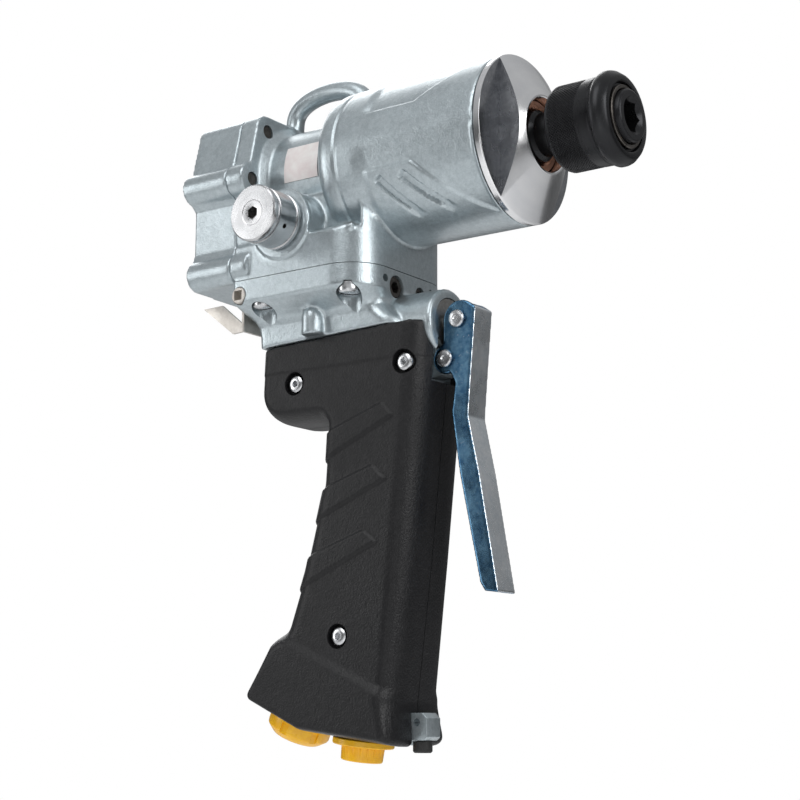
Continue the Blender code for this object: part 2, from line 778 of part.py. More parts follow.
def motor_fittings():
    """Bushes, wear plate, bearing and seal of the gear motor."""
    bores = (("shaft_bush", 0.0, SHAFT_RADIUS), ("idler_bush", -GEAR_CENTRES, IDLER_SHAFT_RADIUS))
    for name, z, radius in bores:
        inner = radius + RUNNING_GAP
        shape = ring("X", (0, 0, z), inner, inner + BUSH_WALL, BUSH_BORE_FLOOR + GAP, POCKET_FLOOR - 0.1, 24)
        piece(name, shape, "bronze")
    tip = GEAR_CENTRES / 2 + 0.9 * GEAR_MODULE
    front = COVER_FRONT - 0.2
    rear = front - WEAR_PLATE_THICKNESS
    upper = rod("X", (0, 0, 0), tip, rear, front, 28)
    plate = join(upper, rod("X", (0, 0, -GEAR_CENTRES), tip, rear, front, 28))
    cut(
        plate,
        rod("X", (0, 0, 0), SHAFT_RADIUS + 0.5, rear - 1.0, front + 1.0, 24),
        rod("X", (0, 0, -GEAR_CENTRES), IDLER_SHAFT_RADIUS + 0.5, rear - 1.0, front + 1.0, 20),
    )
    piece("wear_plate", plate, "bronze")
    seal = ring("X", (0, 0, 0), SHAFT_RADIUS + RUNNING_GAP, BEARING_OUTER_RADIUS, HOUSING_REAR + 0.5, 31.0)
    piece("shaft_seal", seal, "rubber")
    bearing = ring("X", (0, 0, 0), SHAFT_RADIUS + RUNNING_GAP, BEARING_OUTER_RADIUS, 31.6, 42.0)
    piece("shaft_bearing", bearing, "ground_steel")


# --- Impact mechanism -------------------------------------------------------


def hammer_cage(rotor):
    """The turning cage that carries the hammers, with two windows between its end discs."""
    front = CAGE_REAR + CAGE_LENGTH
    inside = CAGE_RADIUS - CAGE_WALL
    shape = turned(
        (
            (CAGE_REAR - CAGE_HUB_LENGTH, SHAFT_RADIUS + GAP),
            (CAGE_REAR - CAGE_HUB_LENGTH, CAGE_HUB_RADIUS),
            (CAGE_REAR, CAGE_HUB_RADIUS),
            (CAGE_REAR, CAGE_RADIUS),
            (front, CAGE_RADIUS),
            (front, ANVIL_CORE_RADIUS + 0.6),
            (front - CAGE_DISC, ANVIL_CORE_RADIUS + 0.6),
            (front - CAGE_DISC, inside),
            (CAGE_REAR + CAGE_DISC, inside),
            (CAGE_REAR + CAGE_DISC, SHAFT_RADIUS + GAP),
        ),
        32,
    )
    window = block(
        (CAGE_REAR + CAGE_DISC, -40.0, -17.0),
        (front - CAGE_DISC, 40.0, 17.0),
    )
    tools = [window]
    for z in (-HAMMER_PIN_PLACE, HAMMER_PIN_PLACE):
        tools.append(rod("X", (0, 0, z), HAMMER_PIN_RADIUS + GAP, CAGE_REAR - 1.0, front + 1.0, 16))
    piece("hammer_cage", cut(shape, *tools), "ground_steel", rotor)
    for name, z in (("hammer_pin_top", HAMMER_PIN_PLACE), ("hammer_pin_bottom", -HAMMER_PIN_PLACE)):
        pin = rod("X", (0, 0, z), HAMMER_PIN_RADIUS, CAGE_REAR + 0.3, front - 0.3, 16)
        piece(name, pin, "ground_steel", rotor)


def hammers(rotor):
    """Two ring hammers, each hung on one pin and slotted for the other."""
    room = CAGE_LENGTH - 2 * CAGE_DISC
    length = (room - 3 * 0.5) / 2
    rear = CAGE_REAR + CAGE_DISC + 0.5
    for name, low, pivot_side in (("hammer_rear", rear, 1), ("hammer_front", rear + length + 0.5, -1)):
        high = low + length
        shape = ring("X", (0, 0, 0), HAMMER_BORE, HAMMER_RADIUS, low, high, 28)
        jaw_low, jaw_high = sorted((pivot_side * 10.8, pivot_side * (HAMMER_BORE + 2.0)))
        join(shape, block((low, jaw_low, -3.6), (high, jaw_high, 3.6)))
        pivot = rod(
            "X", (0, 0, pivot_side * HAMMER_PIN_PLACE), HAMMER_PIN_RADIUS + GAP, low - 1.0, high + 1.0, 16
        )
        slot_middle = -pivot_side * HAMMER_PIN_PLACE
        slot = block((low - 1.0, -4.6, slot_middle - 3.3), (high + 1.0, 4.6, slot_middle + 3.3))
        piece(name, cut(shape, pivot, slot), "ground_steel", rotor)


def anvil(body):
    """The struck output shaft, with two jaws inside and the hex socket outside."""
    collar = BARREL_FRONT - 9.4
    spring_seat = SLEEVE_REAR + 0.4
    shape = turned(
        (
            (CAGE_REAR + CAGE_DISC + 1.0, 0.0),
            (CAGE_REAR + CAGE_DISC + 1.0, ANVIL_CORE_RADIUS),
            (collar - 1.0, ANVIL_CORE_RADIUS),
            (collar - 1.0, JOURNAL_RADIUS + 3.0),
            (BARREL_FRONT - 5.2, JOURNAL_RADIUS + 3.0),
            (BARREL_FRONT - 5.2, JOURNAL_RADIUS),
            (CONE_FRONT - 2.4, JOURNAL_RADIUS),
            (CONE_FRONT - 1.0, ANVIL_NECK_RADIUS),
            (spring_seat, ANVIL_NECK_RADIUS),
            (spring_seat, 13.8),
            (spring_seat + 1.8, 13.8),
            (spring_seat + 1.8, ANVIL_END_RADIUS),
            (ANVIL_FRONT - 0.6, ANVIL_END_RADIUS),
            (ANVIL_FRONT, ANVIL_END_RADIUS - 0.6),
            (ANVIL_FRONT, 0.0),
        ),
        24,
    )
    rear = CAGE_REAR + CAGE_DISC + 2.0
    front = CAGE_REAR + CAGE_LENGTH - CAGE_DISC - 1.0
    half = ANVIL_JAW_WIDTH / 2
    jaws = block((rear, -half, -ANVIL_JAW_RADIUS), (front, half, ANVIL_JAW_RADIUS))
    join(shape, jaws)
    lead_in = turned(
        (
            (ANVIL_FRONT - 1.8, 0.0),
            (ANVIL_FRONT - 1.8, HEX_ACROSS_FLATS / 2 - 0.2),
            (ANVIL_FRONT + 0.4, HEX_ACROSS_FLATS / 2 + 2.0),
            (ANVIL_FRONT + 0.4, 0.0),
        ),
        24,
    )
    ball_x = SLEEVE_REAR + 17.0
    cut(
        shape,
        hexagon_rod("X", (0, 0, 0), HEX_ACROSS_FLATS, ANVIL_FRONT - HEX_DEPTH, ANVIL_FRONT + 1.0),
        lead_in,
        rod("Z", (ball_x, 0, 0), BALL_RADIUS + GAP, 0.0, ANVIL_END_RADIUS + 1.0, 16),
    )
    piece("anvil", shape, "black_oxide", body)
    spots = [(math.cos(math.radians(a)) * BALL_RADIUS, math.sin(math.radians(a)) * BALL_RADIUS)
             for a in range(-90, 91, 30)]
    profile = [(along_axis, max(radius, 0.0) if abs(along_axis) < BALL_RADIUS else 0.0)
               for radius, along_axis in spots]
    ball = turned(profile, 12, "X", (ball_x, 0, ANVIL_END_RADIUS - BALL_RADIUS))
    piece("chuck_ball", ball, "bright_steel", body)


def chuck(anvil_body, sleeve_body):
    """The sliding chuck sleeve, its spring, and the washer and ring that keep it on."""
    shoulder = SLEEVE_REAR + 13.1
    bore = ANVIL_END_RADIUS + 0.4
    recess = SLEEVE_FRONT - 3.3
    flange = SLEEVE_REAR + 20.2
    sleeve = turned(
        (
            (SLEEVE_REAR, 14.2),
            (SLEEVE_REAR, SLEEVE_RADIUS - 1.3),
            (SLEEVE_REAR + 1.3, SLEEVE_RADIUS),
            (flange, SLEEVE_RADIUS),
            (flange + 1.2, SLEEVE_FLANGE_RADIUS),
            (SLEEVE_FRONT - 3.4, SLEEVE_FLANGE_RADIUS),
            (SLEEVE_FRONT, 14.6),
            (SLEEVE_FRONT, 13.2),
            (recess, 13.2),
            (recess, bore),
            (recess - 1.9, bore),
            (recess - 2.3, bore + 1.7),
            (recess - 4.1, bore + 1.7),
            (recess - 4.5, bore),
            (shoulder, bore),
            (shoulder, 14.2),
        ),
        36,
    )
    piece("chuck_sleeve", sleeve, "black_oxide", sleeve_body)
    low = SLEEVE_REAR + 0.4 + 1.8 + GAP + SPRING_WIRE / 2
    spring = coil((0, 0, 0), 12.2, SPRING_WIRE / 2, low, shoulder - GAP - SPRING_WIRE / 2, 3.5)
    piece("chuck_spring", spring, "bright_steel", anvil_body)
    washer = ring("X", (0, 0, 0), ANVIL_END_RADIUS + GAP, 12.9, recess + 0.4, recess + 1.9)
    piece("chuck_washer", washer, "black_oxide", anvil_body)
    keeper = ring("X", (0, 0, 0), ANVIL_END_RADIUS + GAP, 12.0, recess + 2.2, recess + 3.5)
    piece("chuck_retaining_ring", keeper, "black_oxide", anvil_body)


# --- Reversing spool --------------------------------------------------------


def reverser(body):
    """The cross spool that sets the turning direction, with a knob on each end."""
    near = -REVERSER_BOSS_END - GAP
    far = REVERSER_BOSS_END + GAP + REVERSER_TRAVEL
    centre = (REVERSER_X, 0, REVERSER_Z)
    stub = 5.0
    depth = 7.0
    groove = REVERSER_SPOOL_RADIUS - 2.2
    spool = turned(
        (
            (near - depth, 0.0),
            (near - depth, stub),
            (near + 0.2, stub),
            (near + 0.2, REVERSER_SPOOL_RADIUS),
            (-16.0, REVERSER_SPOOL_RADIUS),
            (-15.0, groove),
            (-6.0, groove),
            (-5.0, REVERSER_SPOOL_RADIUS),
            (5.0, REVERSER_SPOOL_RADIUS),
            (6.0, groove),
            (15.0, groove),
            (16.0, REVERSER_SPOOL_RADIUS),
            (far - 0.2, REVERSER_SPOOL_RADIUS),
            (far - 0.2, stub),
            (far + depth, stub),
            (far + depth, 0.0),
        ),
        20,
        "Y",
        centre,
    )
    piece("reversing_spool", spool, "ground_steel", body)
    for name, base, side in (("reversing_knob_right", near, -1), ("reversing_knob_left", far, 1)):
        piece(name, knob(base, side, centre, stub, depth), "bright_steel", body)


def knob(base, side, centre, stub, depth):
    """One turned knob, with a hex socket in its face and a bore for the spool's end."""
    face = base + side * KNOB_LENGTH
    shape = turned(
        (
            (base, 0.0),
            (base, KNOB_RADIUS - 0.5),
            (base + side * 0.6, KNOB_RADIUS),
            (face - side * 3.4, KNOB_RADIUS),
            (face - side * 3.1, KNOB_RADIUS - 0.6),
            (face - side * 2.5, KNOB_RADIUS - 0.6),
            (face - side * 2.2, KNOB_RADIUS),
            (face - side * 0.7, KNOB_RADIUS),
            (face, KNOB_RADIUS - 0.7),
            (face, 0.0),
        ),
        24,
        "Y",
        centre,
    )
    bore_low, bore_high = sorted((base - side, base + side * (depth + GAP)))
    hex_low, hex_high = sorted((face + side, face - side * 5.0))
    return cut(
        shape,
        rod("Y", centre, stub + GAP, bore_low, bore_high, 20),
        hexagon_rod("Y", centre, KNOB_HEX, hex_low, hex_high),
    )


# --- Handle casting ---------------------------------------------------------


def port_frames():
    """Mouth centre and outward normal of the rear and front ports, in X and Z."""
    corners = grip_corners()
    low, bend, front = corners[7], corners[8], corners[9]
    frames = []
    for first, second, share in ((low, bend, 0.56), (bend, front, 0.41)):
        _, run, normal = facet(first, second)
        start = Vector(first[:2])
        length = (Vector(second[:2]) - start).length
        frames.append((start + run * length * share, normal))
    return frames


def tilted_rod(mouth, normal, radius, low, high, steps=24):
    """A round bar on a port's axis, from low to high along its outward normal."""
    shape = rod("Z", (0, 0, 0), radius, low, high, steps)
    return tilt(shape, mouth, normal)


def tilt(shape, mouth, normal):
    """Turns a shape built along +Z onto a port's axis."""
    direction = Vector((normal.x, 0.0, normal.y))
    turn = Vector((0, 0, 1)).rotation_difference(direction).to_matrix().to_4x4()
    place = Matrix.Translation(Vector((mouth.x, 0.0, mouth.y)))
    shape.data.transform(place @ turn)
    return shape


def handle_casting():
    """Top flange, valve bore, pivot ear, grip core, port seats and foot as one casting."""
    count_outline = body_outline(
        HOUSING_REAR, BODY_FRONT, BODY_HALF_WIDTH + 0.1, BODY_FRONT_CORNER, BODY_REAR_CORNER
    )
    foot_outline = body_outline(
        CASTING_FOOT_REAR, CASTING_FOOT_FRONT, CASTING_FOOT_HALF_WIDTH, 8.0, BODY_REAR_CORNER
    )
    rings = [[Vector((x, y, CASTING_TOP)) for x, y in count_outline]]
    rings.append([Vector((x, y, CASTING_BAND_BOTTOM)) for x, y in count_outline])
    rings.append([Vector((x, y, grip_top(x))) for x, y in foot_outline])
    shape = loft(rings)
    corners = inset(grip_corners(), GRIP_WALL + GAP)
    for i in (0, -1):
        x, z, radius = corners[i]
        corners[i] = (x, z + 9.0, radius)
    core = prism(rounded(corners), "Y", -CORE_HALF_WIDTH, CORE_HALF_WIDTH)
    boss = rod("X", (0, 0, VALVE_Z), VALVE_BOSS_RADIUS, VALVE_BOSS_REAR, VALVE_BOSS_FRONT, 32)
    pivot_x, pivot_z = LEVER_PIVOT
    ear_outline = [(98.0, -90.0), (98.0, -72.0), (108.0, -72.0)]
    ear_outline += list(reversed(arc((pivot_x, pivot_z), 5.2, -90, 60, 8)))
    ear = prism(ear_outline, "Y", -EAR_HALF_WIDTH, EAR_HALF_WIDTH)
    foot_outline_side = [
        (84.4, FOOT_TOP), (FOOT_FRONT - 2.0, FOOT_TOP), (FOOT_FRONT, FOOT_TOP - 2.0),
        (FOOT_FRONT, -225.2), (FOOT_FRONT - 1.4, -226.4), (92.3, -226.4), (91.5, -228.3), (84.4, -227.4),
    ]
    foot = prism(foot_outline_side, "Y", -FOOT_HALF_WIDTH, FOOT_HALF_WIDTH)
    join(shape, core, boss, ear, foot)
    cuts = [
        rod("X", (0, 0, VALVE_Z), VALVE_SPOOL_RADIUS + GAP, 40.0, VALVE_BOSS_FRONT, 24),
        rod("X", (0, 0, VALVE_Z), VALVE_SPRING_BORE, 88.0, VALVE_BOSS_FRONT + 1.0, 28),
        rod("Y", (pivot_x, 0, pivot_z), LEVER_PIN_RADIUS + GAP, -8.0, 8.0, 16),
        rod("Z", (96.6, 0, 0), 2.3, -228.0, -221.5, 16),
    ]
    for shift in (-5.0, 5.0):
        cuts.append(rod("Z", (REVERSER_X + shift, 0, 0), 2.4, VALVE_Z, CASTING_TOP + 1.0, 8))
    for (mouth, normal), top_x in zip(port_frames(), (62.0, 84.0)):
        cuts.append(tilted_rod(mouth, normal, PORT_RADIUS, -PORT_DEPTH, 4.0))
        inner = mouth - normal * (PORT_DEPTH - 1.0)
        points = [Vector((inner.x, 0.0, inner.y)), Vector((top_x, 0.0, VALVE_Z))]
        cuts.append(swept(points, 3.2, 8))
    for x, z in GRIP_SCREW_PLACES:
        cuts.append(rod("Y", (x, 0, z), GRIP_SCREW_RADIUS + GAP, -20.0, 20.0, 12))
    for x, y in body_screw_spots():
        cuts.append(rod("Z", (x, y, 0), BODY_SCREW_RADIUS + GAP, -66.0, CASTING_TOP + 1.0, 12))
        seat = BODY_SCREW_HEAD_BOTTOM + BODY_SCREW_HEAD_LENGTH + GAP
        cuts.append(rod("Z", (x, y, 0), BODY_SCREW_HEAD_RADIUS + 0.5, -72.0, seat, 16))
    for side in (-1, 1):
        cuts.append(rod("X", (0, side * 8.0, -51.6), 3.2, BODY_FRONT - 7.0, BODY_FRONT + 3.0, 16))
        near, far = sorted((side * (EAR_HALF_WIDTH + 0.1), side * 8.6))
        cuts.append(block((104.6, near, -95.0), (VALVE_BOSS_FRONT + 2.0, far, -74.5)))
    cuts.append(rod("Y", (27.6, 0, -51.2), 3.2, -35.0, -25.0, 16))
    cut(shape, *cuts)
    for side in (-1, 1):
        dome = turned(
            ((-69.6, 0.0), (-69.6, 4.6), (-61.0, 4.6), (-58.6, 3.4), (-57.6, 1.6), (-57.3, 0.0)),
            18,
            "Z",
            (61.5, side * 20.4, 0),
        )
        join(shape, dome)
    piece("handle_casting", shape, "cast_silver")


def gallery_plugs():
    """The small plugs that close the casting's drilled galleries."""
    for name, y in (("gallery_plug_right", -8.0), ("gallery_plug_left", 8.0)):
        shape = rod("X", (0, y, -51.6), 2.9, BODY_FRONT - 6.7, BODY_FRONT - 0.5, 16)
        cut(shape, hexagon_rod("X", (0, y, -51.6), 3.0, BODY_FRONT - 3.2, BODY_FRONT + 1.0))
        piece(name, shape, "ground_steel")
    face = -BODY_HALF_WIDTH - 0.6
    shape = rod("Y", (27.6, 0, -51.2), 2.9, face, -25.3, 16)
    socket = block((25.9, face - 1.0, -52.9), (29.3, face + 2.6, -49.5))
    piece("square_plug", cut(shape, socket), "ground_steel")


def rear_tab():
    """The bent sheet guard behind the handle casting, open between its two arms."""
    arm = [(1.0, -51.4), (11.2, -51.2), (23.2, -61.0), (23.2, -63.6), (17.2, -63.9)]
    near = prism(arm, "Y", -22.4, -21.2)
    far = prism(arm, "Y", 21.2, 22.4)
    back = block((22.0, -22.4, -63.6), (23.2, 22.4, -55.0))
    upright = block((22.0, -14.0, -63.6), (23.2, 14.0, -47.6))
    piece("rear_tab", join(back, near, far, upright), "ground_steel")


# --- Grip -------------------------------------------------------------------


def half_outline_rings(side):
    """The rings of one grip half, pulled in towards its outer face."""
    outline = rounded(grip_corners(), 3)
    count = len(outline)
    stations = ((0.15, 0.0), (9.0, 0.9), (14.0, 3.2), (17.0, 6.4), (GRIP_HALF_WIDTH, 9.0))
    rings = []
    for y, pull in stations:
        ring_points = []
        for i, (x, z) in enumerate(outline):
            before, after = outline[i - 1], outline[(i + 1) % count]
            run = Vector((after[0] - before[0], after[1] - before[1])).normalized()
            inward = Vector((-run.y, run.x))
            amount = pull if z > -186.0 else pull * 0.5
            lift = 0.0 if z > grip_top(x) - 4.0 else 0.5 * inward.y * amount
            if z < -205.0:
                lift = 0.15 * inward.y * amount
            ring_points.append(Vector((x + inward.x * amount, side * y, z + lift)))
        rings.append(ring_points)
    return rings


def grip_half(name, side):
    """One moulded grip half, hollow round the casting's core."""
    shape = loft(half_outline_rings(side))
    low, bend, front = grip_corners()[7], grip_corners()[8], grip_corners()[9]
    panel = [(34.6, -189.0, 3.0), (low[0] + 0.6, low[1] + 0.3, 2.5), (bend[0], bend[1] + 0.2, 6.0),
             (front[0] - 3.0, front[1] + 0.7, 2.5), (92.0, -210.0, 5.0)]
    rings = []
    for y, pull in ((0.15, 0.0), (GRIP_HALF_WIDTH - 2.0, 0.3), (PORT_BLOCK_HALF_WIDTH, 2.6)):
        rings.append([Vector((x, side * y, z)) for x, z in rounded(inset(panel, pull), 3)])
    join(shape, loft(rings))
    inner = inset(grip_corners(), GRIP_WALL)
    for i in (0, -1):
        x, z, radius = inner[i]
        inner[i] = (x, z + 12.0, radius)
    outer_cavity = CORE_HALF_WIDTH + GAP
    low_y, high_y = sorted((-side * 1.0, side * outer_cavity))
    cuts = [
        prism(rounded(inner), "Y", low_y, high_y),
        rod("X", (0, 0, VALVE_Z), VALVE_BOSS_RADIUS + GAP, VALVE_BOSS_REAR - 1.0, 115.0, 32),
        block((101.0, -9.4, -91.4), (115.0, 9.4, -60.0)),
        block((84.0, -FOOT_HALF_WIDTH - GAP, -232.0), (110.0, FOOT_HALF_WIDTH + GAP, FOOT_TOP + GAP)),
    ]
    for mouth, normal in port_frames():
        cuts.append(tilted_rod(mouth, normal, PORT_RADIUS + 0.4, -PORT_DEPTH, 6.0))
    for x, z in GRIP_SCREW_PLACES:
        cuts.append(rod("Y", (x, 0, z), GRIP_SCREW_RADIUS + GAP, -25.0, 25.0, 12))
        low_y, high_y = sorted((side * GRIP_SCREW_FLOOR, side * 25.0))
        cuts.append(rod("Y", (x, 0, z), GRIP_SCREW_POCKET_RADIUS, low_y, high_y, 16))
    piece(name, cut(shape, *cuts), "black_plastic")


def grip_fasteners():
    """Three through screws that clamp the grip halves on the core, and their nuts."""
    face = -GRIP_HALF_WIDTH + 0.6
    for number, (x, z) in enumerate(GRIP_SCREW_PLACES, 1):
        head_length = GRIP_HALF_WIDTH - 0.6 - GRIP_SCREW_FLOOR - 0.1
        cap_screw(
            f"grip_screw_{number}",
            "Y",
            (x, 0, z),
            face,
            GRIP_SCREW_FLOOR + 2.8,
            GRIP_SCREW_HEAD_RADIUS,
            head_length,
            GRIP_SCREW_RADIUS,
            2.5,
            "bright_steel",
        )
        low = GRIP_SCREW_FLOOR + 0.1
        nut = hexagon_rod("Y", (x, 0, z), 7.0, low, low + 2.6)
        cut(nut, rod("Y", (x, 0, z), GRIP_SCREW_RADIUS + RUNNING_GAP, low - 1.0, low + 4.0, 16))
        piece(f"grip_nut_{number}", nut, "bright_steel")


# --- Trigger ----------------------------------------------------------------


def lever_front_line():
    """The lever's front edge from top to bottom, in X and Z."""
    return [(124.9, -64.0), (122.6, -91.0), (121.4, -106.0), (126.2, -128.0), (133.4, -168.0), (134.3, -173.0)]


def trigger_lever(body):
    """The bent channel lever, open towards the grip."""
    pivot_x, pivot_z = LEVER_PIVOT
    link_x, link_z = LEVER_LINK
    rear_line = [(128.4, -172.2), (126.4, -169.0), (117.6, -128.0), (113.9, -104.0), (115.6, -93.0)]
    outline = list(reversed(lever_front_line()))
    outline += arc((link_x + 0.8, link_z), 7.4, 50, 180, 8)
    outline += [(110.4, -76.6)]
    outline += arc((pivot_x, pivot_z), 5.8, 120, 290, 9)
    outline += list(reversed(rear_line))
    shape = prism(outline, "Y", -LEVER_HALF_WIDTH, LEVER_HALF_WIDTH)
    hollow = [(x - LEVER_WEB, z) for x, z in lever_front_line()]
    hollow[0] = (hollow[0][0], -50.0)
    hollow[-1] = (hollow[-1][0] + 1.4, -180.0)
    hollow += [(95.0, -180.0), (95.0, -50.0)]
    inside = LEVER_HALF_WIDTH - LEVER_WALL
    cuts = [prism(hollow, "Y", -inside, inside)]
    for x, z in (LEVER_PIVOT, LEVER_LINK):
        cuts.append(rod("Y", (x, 0, z), LEVER_PIN_RADIUS + GAP, -12.0, 12.0, 16))
    piece("trigger_lever", cut(shape, *cuts), "blue_zinc", body)
    pin(body, "lever_link_pin", LEVER_LINK)


def pin(body, name, place):
    """A headed pin across the lever."""
    x, z = place
    face = LEVER_HALF_WIDTH + GAP
    shape = turned(
        (
            (-face - 1.5, 0.0),
            (-face - 1.5, LEVER_PIN_RADIUS + 0.8),
            (-face - 1.0, LEVER_PIN_RADIUS + 1.2),
            (-face, LEVER_PIN_RADIUS + 1.2),
            (-face, LEVER_PIN_RADIUS),
            (face, LEVER_PIN_RADIUS),
            (face, LEVER_PIN_RADIUS + 1.2),
            (face + 1.0, LEVER_PIN_RADIUS + 1.2),
            (face + 1.5, LEVER_PIN_RADIUS + 0.8),
            (face + 1.5, 0.0),
        ),
        16,
        "Y",
        (x, 0, z),
    )
    piece(name, shape, "bright_steel", body)


def valve(body):
    """The start valve spool, its spring, and the gland that holds the spring in."""
    centre = (0, 0, VALVE_Z)
    link_x = LEVER_LINK[0]
    collar_rear = 89.0
    collar_front = 91.6
    gland_rear = VALVE_BOSS_FRONT - 4.0
    spool = turned(
        (
            (42.0, 0.0),
            (42.0, VALVE_SPOOL_RADIUS - 0.5),
            (42.5, VALVE_SPOOL_RADIUS),
            (56.0, VALVE_SPOOL_RADIUS),
            (57.0, 4.0),
            (66.0, 4.0),
            (67.0, VALVE_SPOOL_RADIUS),
            (collar_rear, VALVE_SPOOL_RADIUS),
            (collar_rear, 9.6),
            (collar_front, 9.6),
            (collar_front, 3.9),
            (link_x - 3.0, 3.9),
            (link_x - 3.0, 0.0),
        ),
        24,
        "X",
        centre,
    )
    nose = link_x + LEVER_PIN_RADIUS + GAP + 0.9
    tang_outline = [
        (link_x - 6.4, VALVE_Z - 6.4),
        (nose - 0.5, VALVE_Z - 6.4),
        (nose, VALVE_Z - 4.6),
        (nose, VALVE_Z + 3.6),
        (link_x - 6.4, VALVE_Z + 3.6),
    ]
    join(spool, prism(tang_outline, "Y", -3.4, 3.4))
    slot = LEVER_PIN_RADIUS + GAP
    hole = [(x + link_x, z + VALVE_Z) for x, z in arc((0, 0), slot, 0, 180, 8)]
    hole += [(x + link_x, z + VALVE_Z - 2.1) for x, z in arc((0, 0), slot, 180, 360, 8)]
    cut(spool, prism(hole, "Y", -6.0, 6.0))
    piece("valve_spool", spool, "ground_steel", body)
    gland = ring("X", centre, 4.3, VALVE_SPRING_BORE - GAP, gland_rear, VALVE_BOSS_FRONT - 0.4, 24)
    piece("valve_gland", gland, "ground_steel")
    low = collar_front + GAP + 0.6
    spring = coil(centre, 6.6, 0.6, low, gland_rear - GAP - 0.6, 4.5, 12)
    piece("valve_spring", spring, "bright_steel")


# --- Plugs and bumper -------------------------------------------------------


def port_plugs(bodies):
    """The yellow dust plugs in the two hose ports."""
    (rear_mouth, rear_normal), (front_mouth, front_normal) = port_frames()
    shank = PORT_RADIUS - GAP
    rear = turned(
        ((-PLUG_SHANK_LENGTH, 0.0), (-PLUG_SHANK_LENGTH, shank - 1.0), (-PLUG_SHANK_LENGTH + 1.0, shank),
         (GAP, shank), (GAP, 12.6), (6.0, 12.6), (8.4, 9.4), (8.4, 0.0)),
        32, "Z",
    )
    piece("return_port_plug", tilt(rear, rear_mouth, rear_normal), "yellow_plastic", bodies[0])
    front = turned(
        ((-PLUG_SHANK_LENGTH, 0.0), (-PLUG_SHANK_LENGTH, shank - 1.0), (-PLUG_SHANK_LENGTH + 1.0, shank),
         (GAP, shank), (GAP, 12.0), (2.8, 12.0), (2.8, 8.6), (8.6, 8.3), (8.6, 0.0)),
        32, "Z",
    )
    piece("pressure_port_plug", tilt(front, front_mouth, front_normal), "yellow_plastic", bodies[1])


def foot_bumper():
    """The black bumper screwed into the foot."""
    shape = turned(
        ((-222.0, 0.0), (-222.0, 2.0), (-226.7, 2.0), (-226.7, 3.7), (-230.4, 3.7), (-231.0, 3.1), (-231.0, 0.0)),
        18, "Z", (96.6, 0, 0),
    )
    piece("foot_bumper", shape, "rubber")


def main():
    """Builds every piece, each on the empty of the body that it moves with."""
    clear_scene()
    rotor = body_empty("rotor_axis", (CAGE_REAR, 0, 0))
    idler = body_empty("idler_axis", (POCKET_FLOOR, 0, -GEAR_CENTRES))
    anvil_body = body_empty("anvil_axis", (CONE_FRONT, 0, 0))
    sleeve_body = body_empty("sleeve_axis", (SLEEVE_REAR, 0, 0))
    reverser_body = body_empty("reverser_axis", (REVERSER_X, 0, REVERSER_Z))
    lever_body = body_empty("lever_axis", (LEVER_PIVOT[0], 0, LEVER_PIVOT[1]))
    valve_body = body_empty("valve_axis", (LEVER_LINK[0], 0, VALVE_Z))
    plug_bodies = [
        body_empty(name, (mouth.x, 0, mouth.y))
        for name, (mouth, _) in zip(("return_port_axis", "pressure_port_axis"), port_frames())
    ]
    main_housing()
    nose_cap()
    rear_cover()
    cover_screws()
    body_screws()
    neck_label()
    gears(rotor, idler)
    motor_fittings()
    hammer_cage(rotor)
    hammers(rotor)
    anvil(anvil_body)
    chuck(anvil_body, sleeve_body)
    reverser(reverser_body)
    handle_casting()
    gallery_plugs()
    rear_tab()
    grip_half("grip_right", -1)
    grip_half("grip_left", 1)
    grip_fasteners()
    trigger_lever(lever_body)
    pin(None, "lever_pivot_pin", LEVER_PIVOT)
    valve(valve_body)
    port_plugs(plug_bodies)
    foot_bumper()


main()
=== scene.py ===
"""Look of a pistol-grip hydraulic impact wrench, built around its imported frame.

Each sub-assembly is a class that holds its sizes in millimetres, builds its meshes and dresses them.
+X runs along the drive axis to the chuck, +Y is the tool's left side and +Z is up.
"""

from __future__ import annotations

import json
import logging
import math
from dataclasses import dataclass
from enum import Enum
from typing import Callable, Sequence

import bmesh
import bpy
from mathutils import Matrix, Vector

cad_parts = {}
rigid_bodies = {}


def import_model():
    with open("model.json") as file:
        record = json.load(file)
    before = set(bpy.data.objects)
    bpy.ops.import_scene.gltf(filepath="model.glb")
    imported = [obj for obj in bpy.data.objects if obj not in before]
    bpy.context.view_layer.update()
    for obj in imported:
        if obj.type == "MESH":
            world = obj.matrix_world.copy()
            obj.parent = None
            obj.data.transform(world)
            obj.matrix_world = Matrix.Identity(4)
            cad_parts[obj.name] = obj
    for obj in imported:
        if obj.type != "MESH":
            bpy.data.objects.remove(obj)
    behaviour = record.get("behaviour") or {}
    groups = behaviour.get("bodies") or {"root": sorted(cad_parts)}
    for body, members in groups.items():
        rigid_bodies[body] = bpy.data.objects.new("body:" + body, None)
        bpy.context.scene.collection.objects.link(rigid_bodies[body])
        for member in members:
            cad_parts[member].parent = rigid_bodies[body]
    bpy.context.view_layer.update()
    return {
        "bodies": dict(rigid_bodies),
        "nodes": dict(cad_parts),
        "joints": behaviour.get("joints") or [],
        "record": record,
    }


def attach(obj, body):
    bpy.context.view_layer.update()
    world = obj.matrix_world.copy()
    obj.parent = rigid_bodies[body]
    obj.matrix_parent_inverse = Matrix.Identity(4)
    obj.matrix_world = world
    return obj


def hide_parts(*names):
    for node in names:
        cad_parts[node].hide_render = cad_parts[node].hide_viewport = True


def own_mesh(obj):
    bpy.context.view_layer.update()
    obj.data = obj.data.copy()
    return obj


Pair = tuple[float, float]
Triple = tuple[float, float, float]
Colour = tuple[float, float, float, float]

LOG = logging.getLogger("impact_wrench")
MM = 0.001
SIDES = (-1, 1)

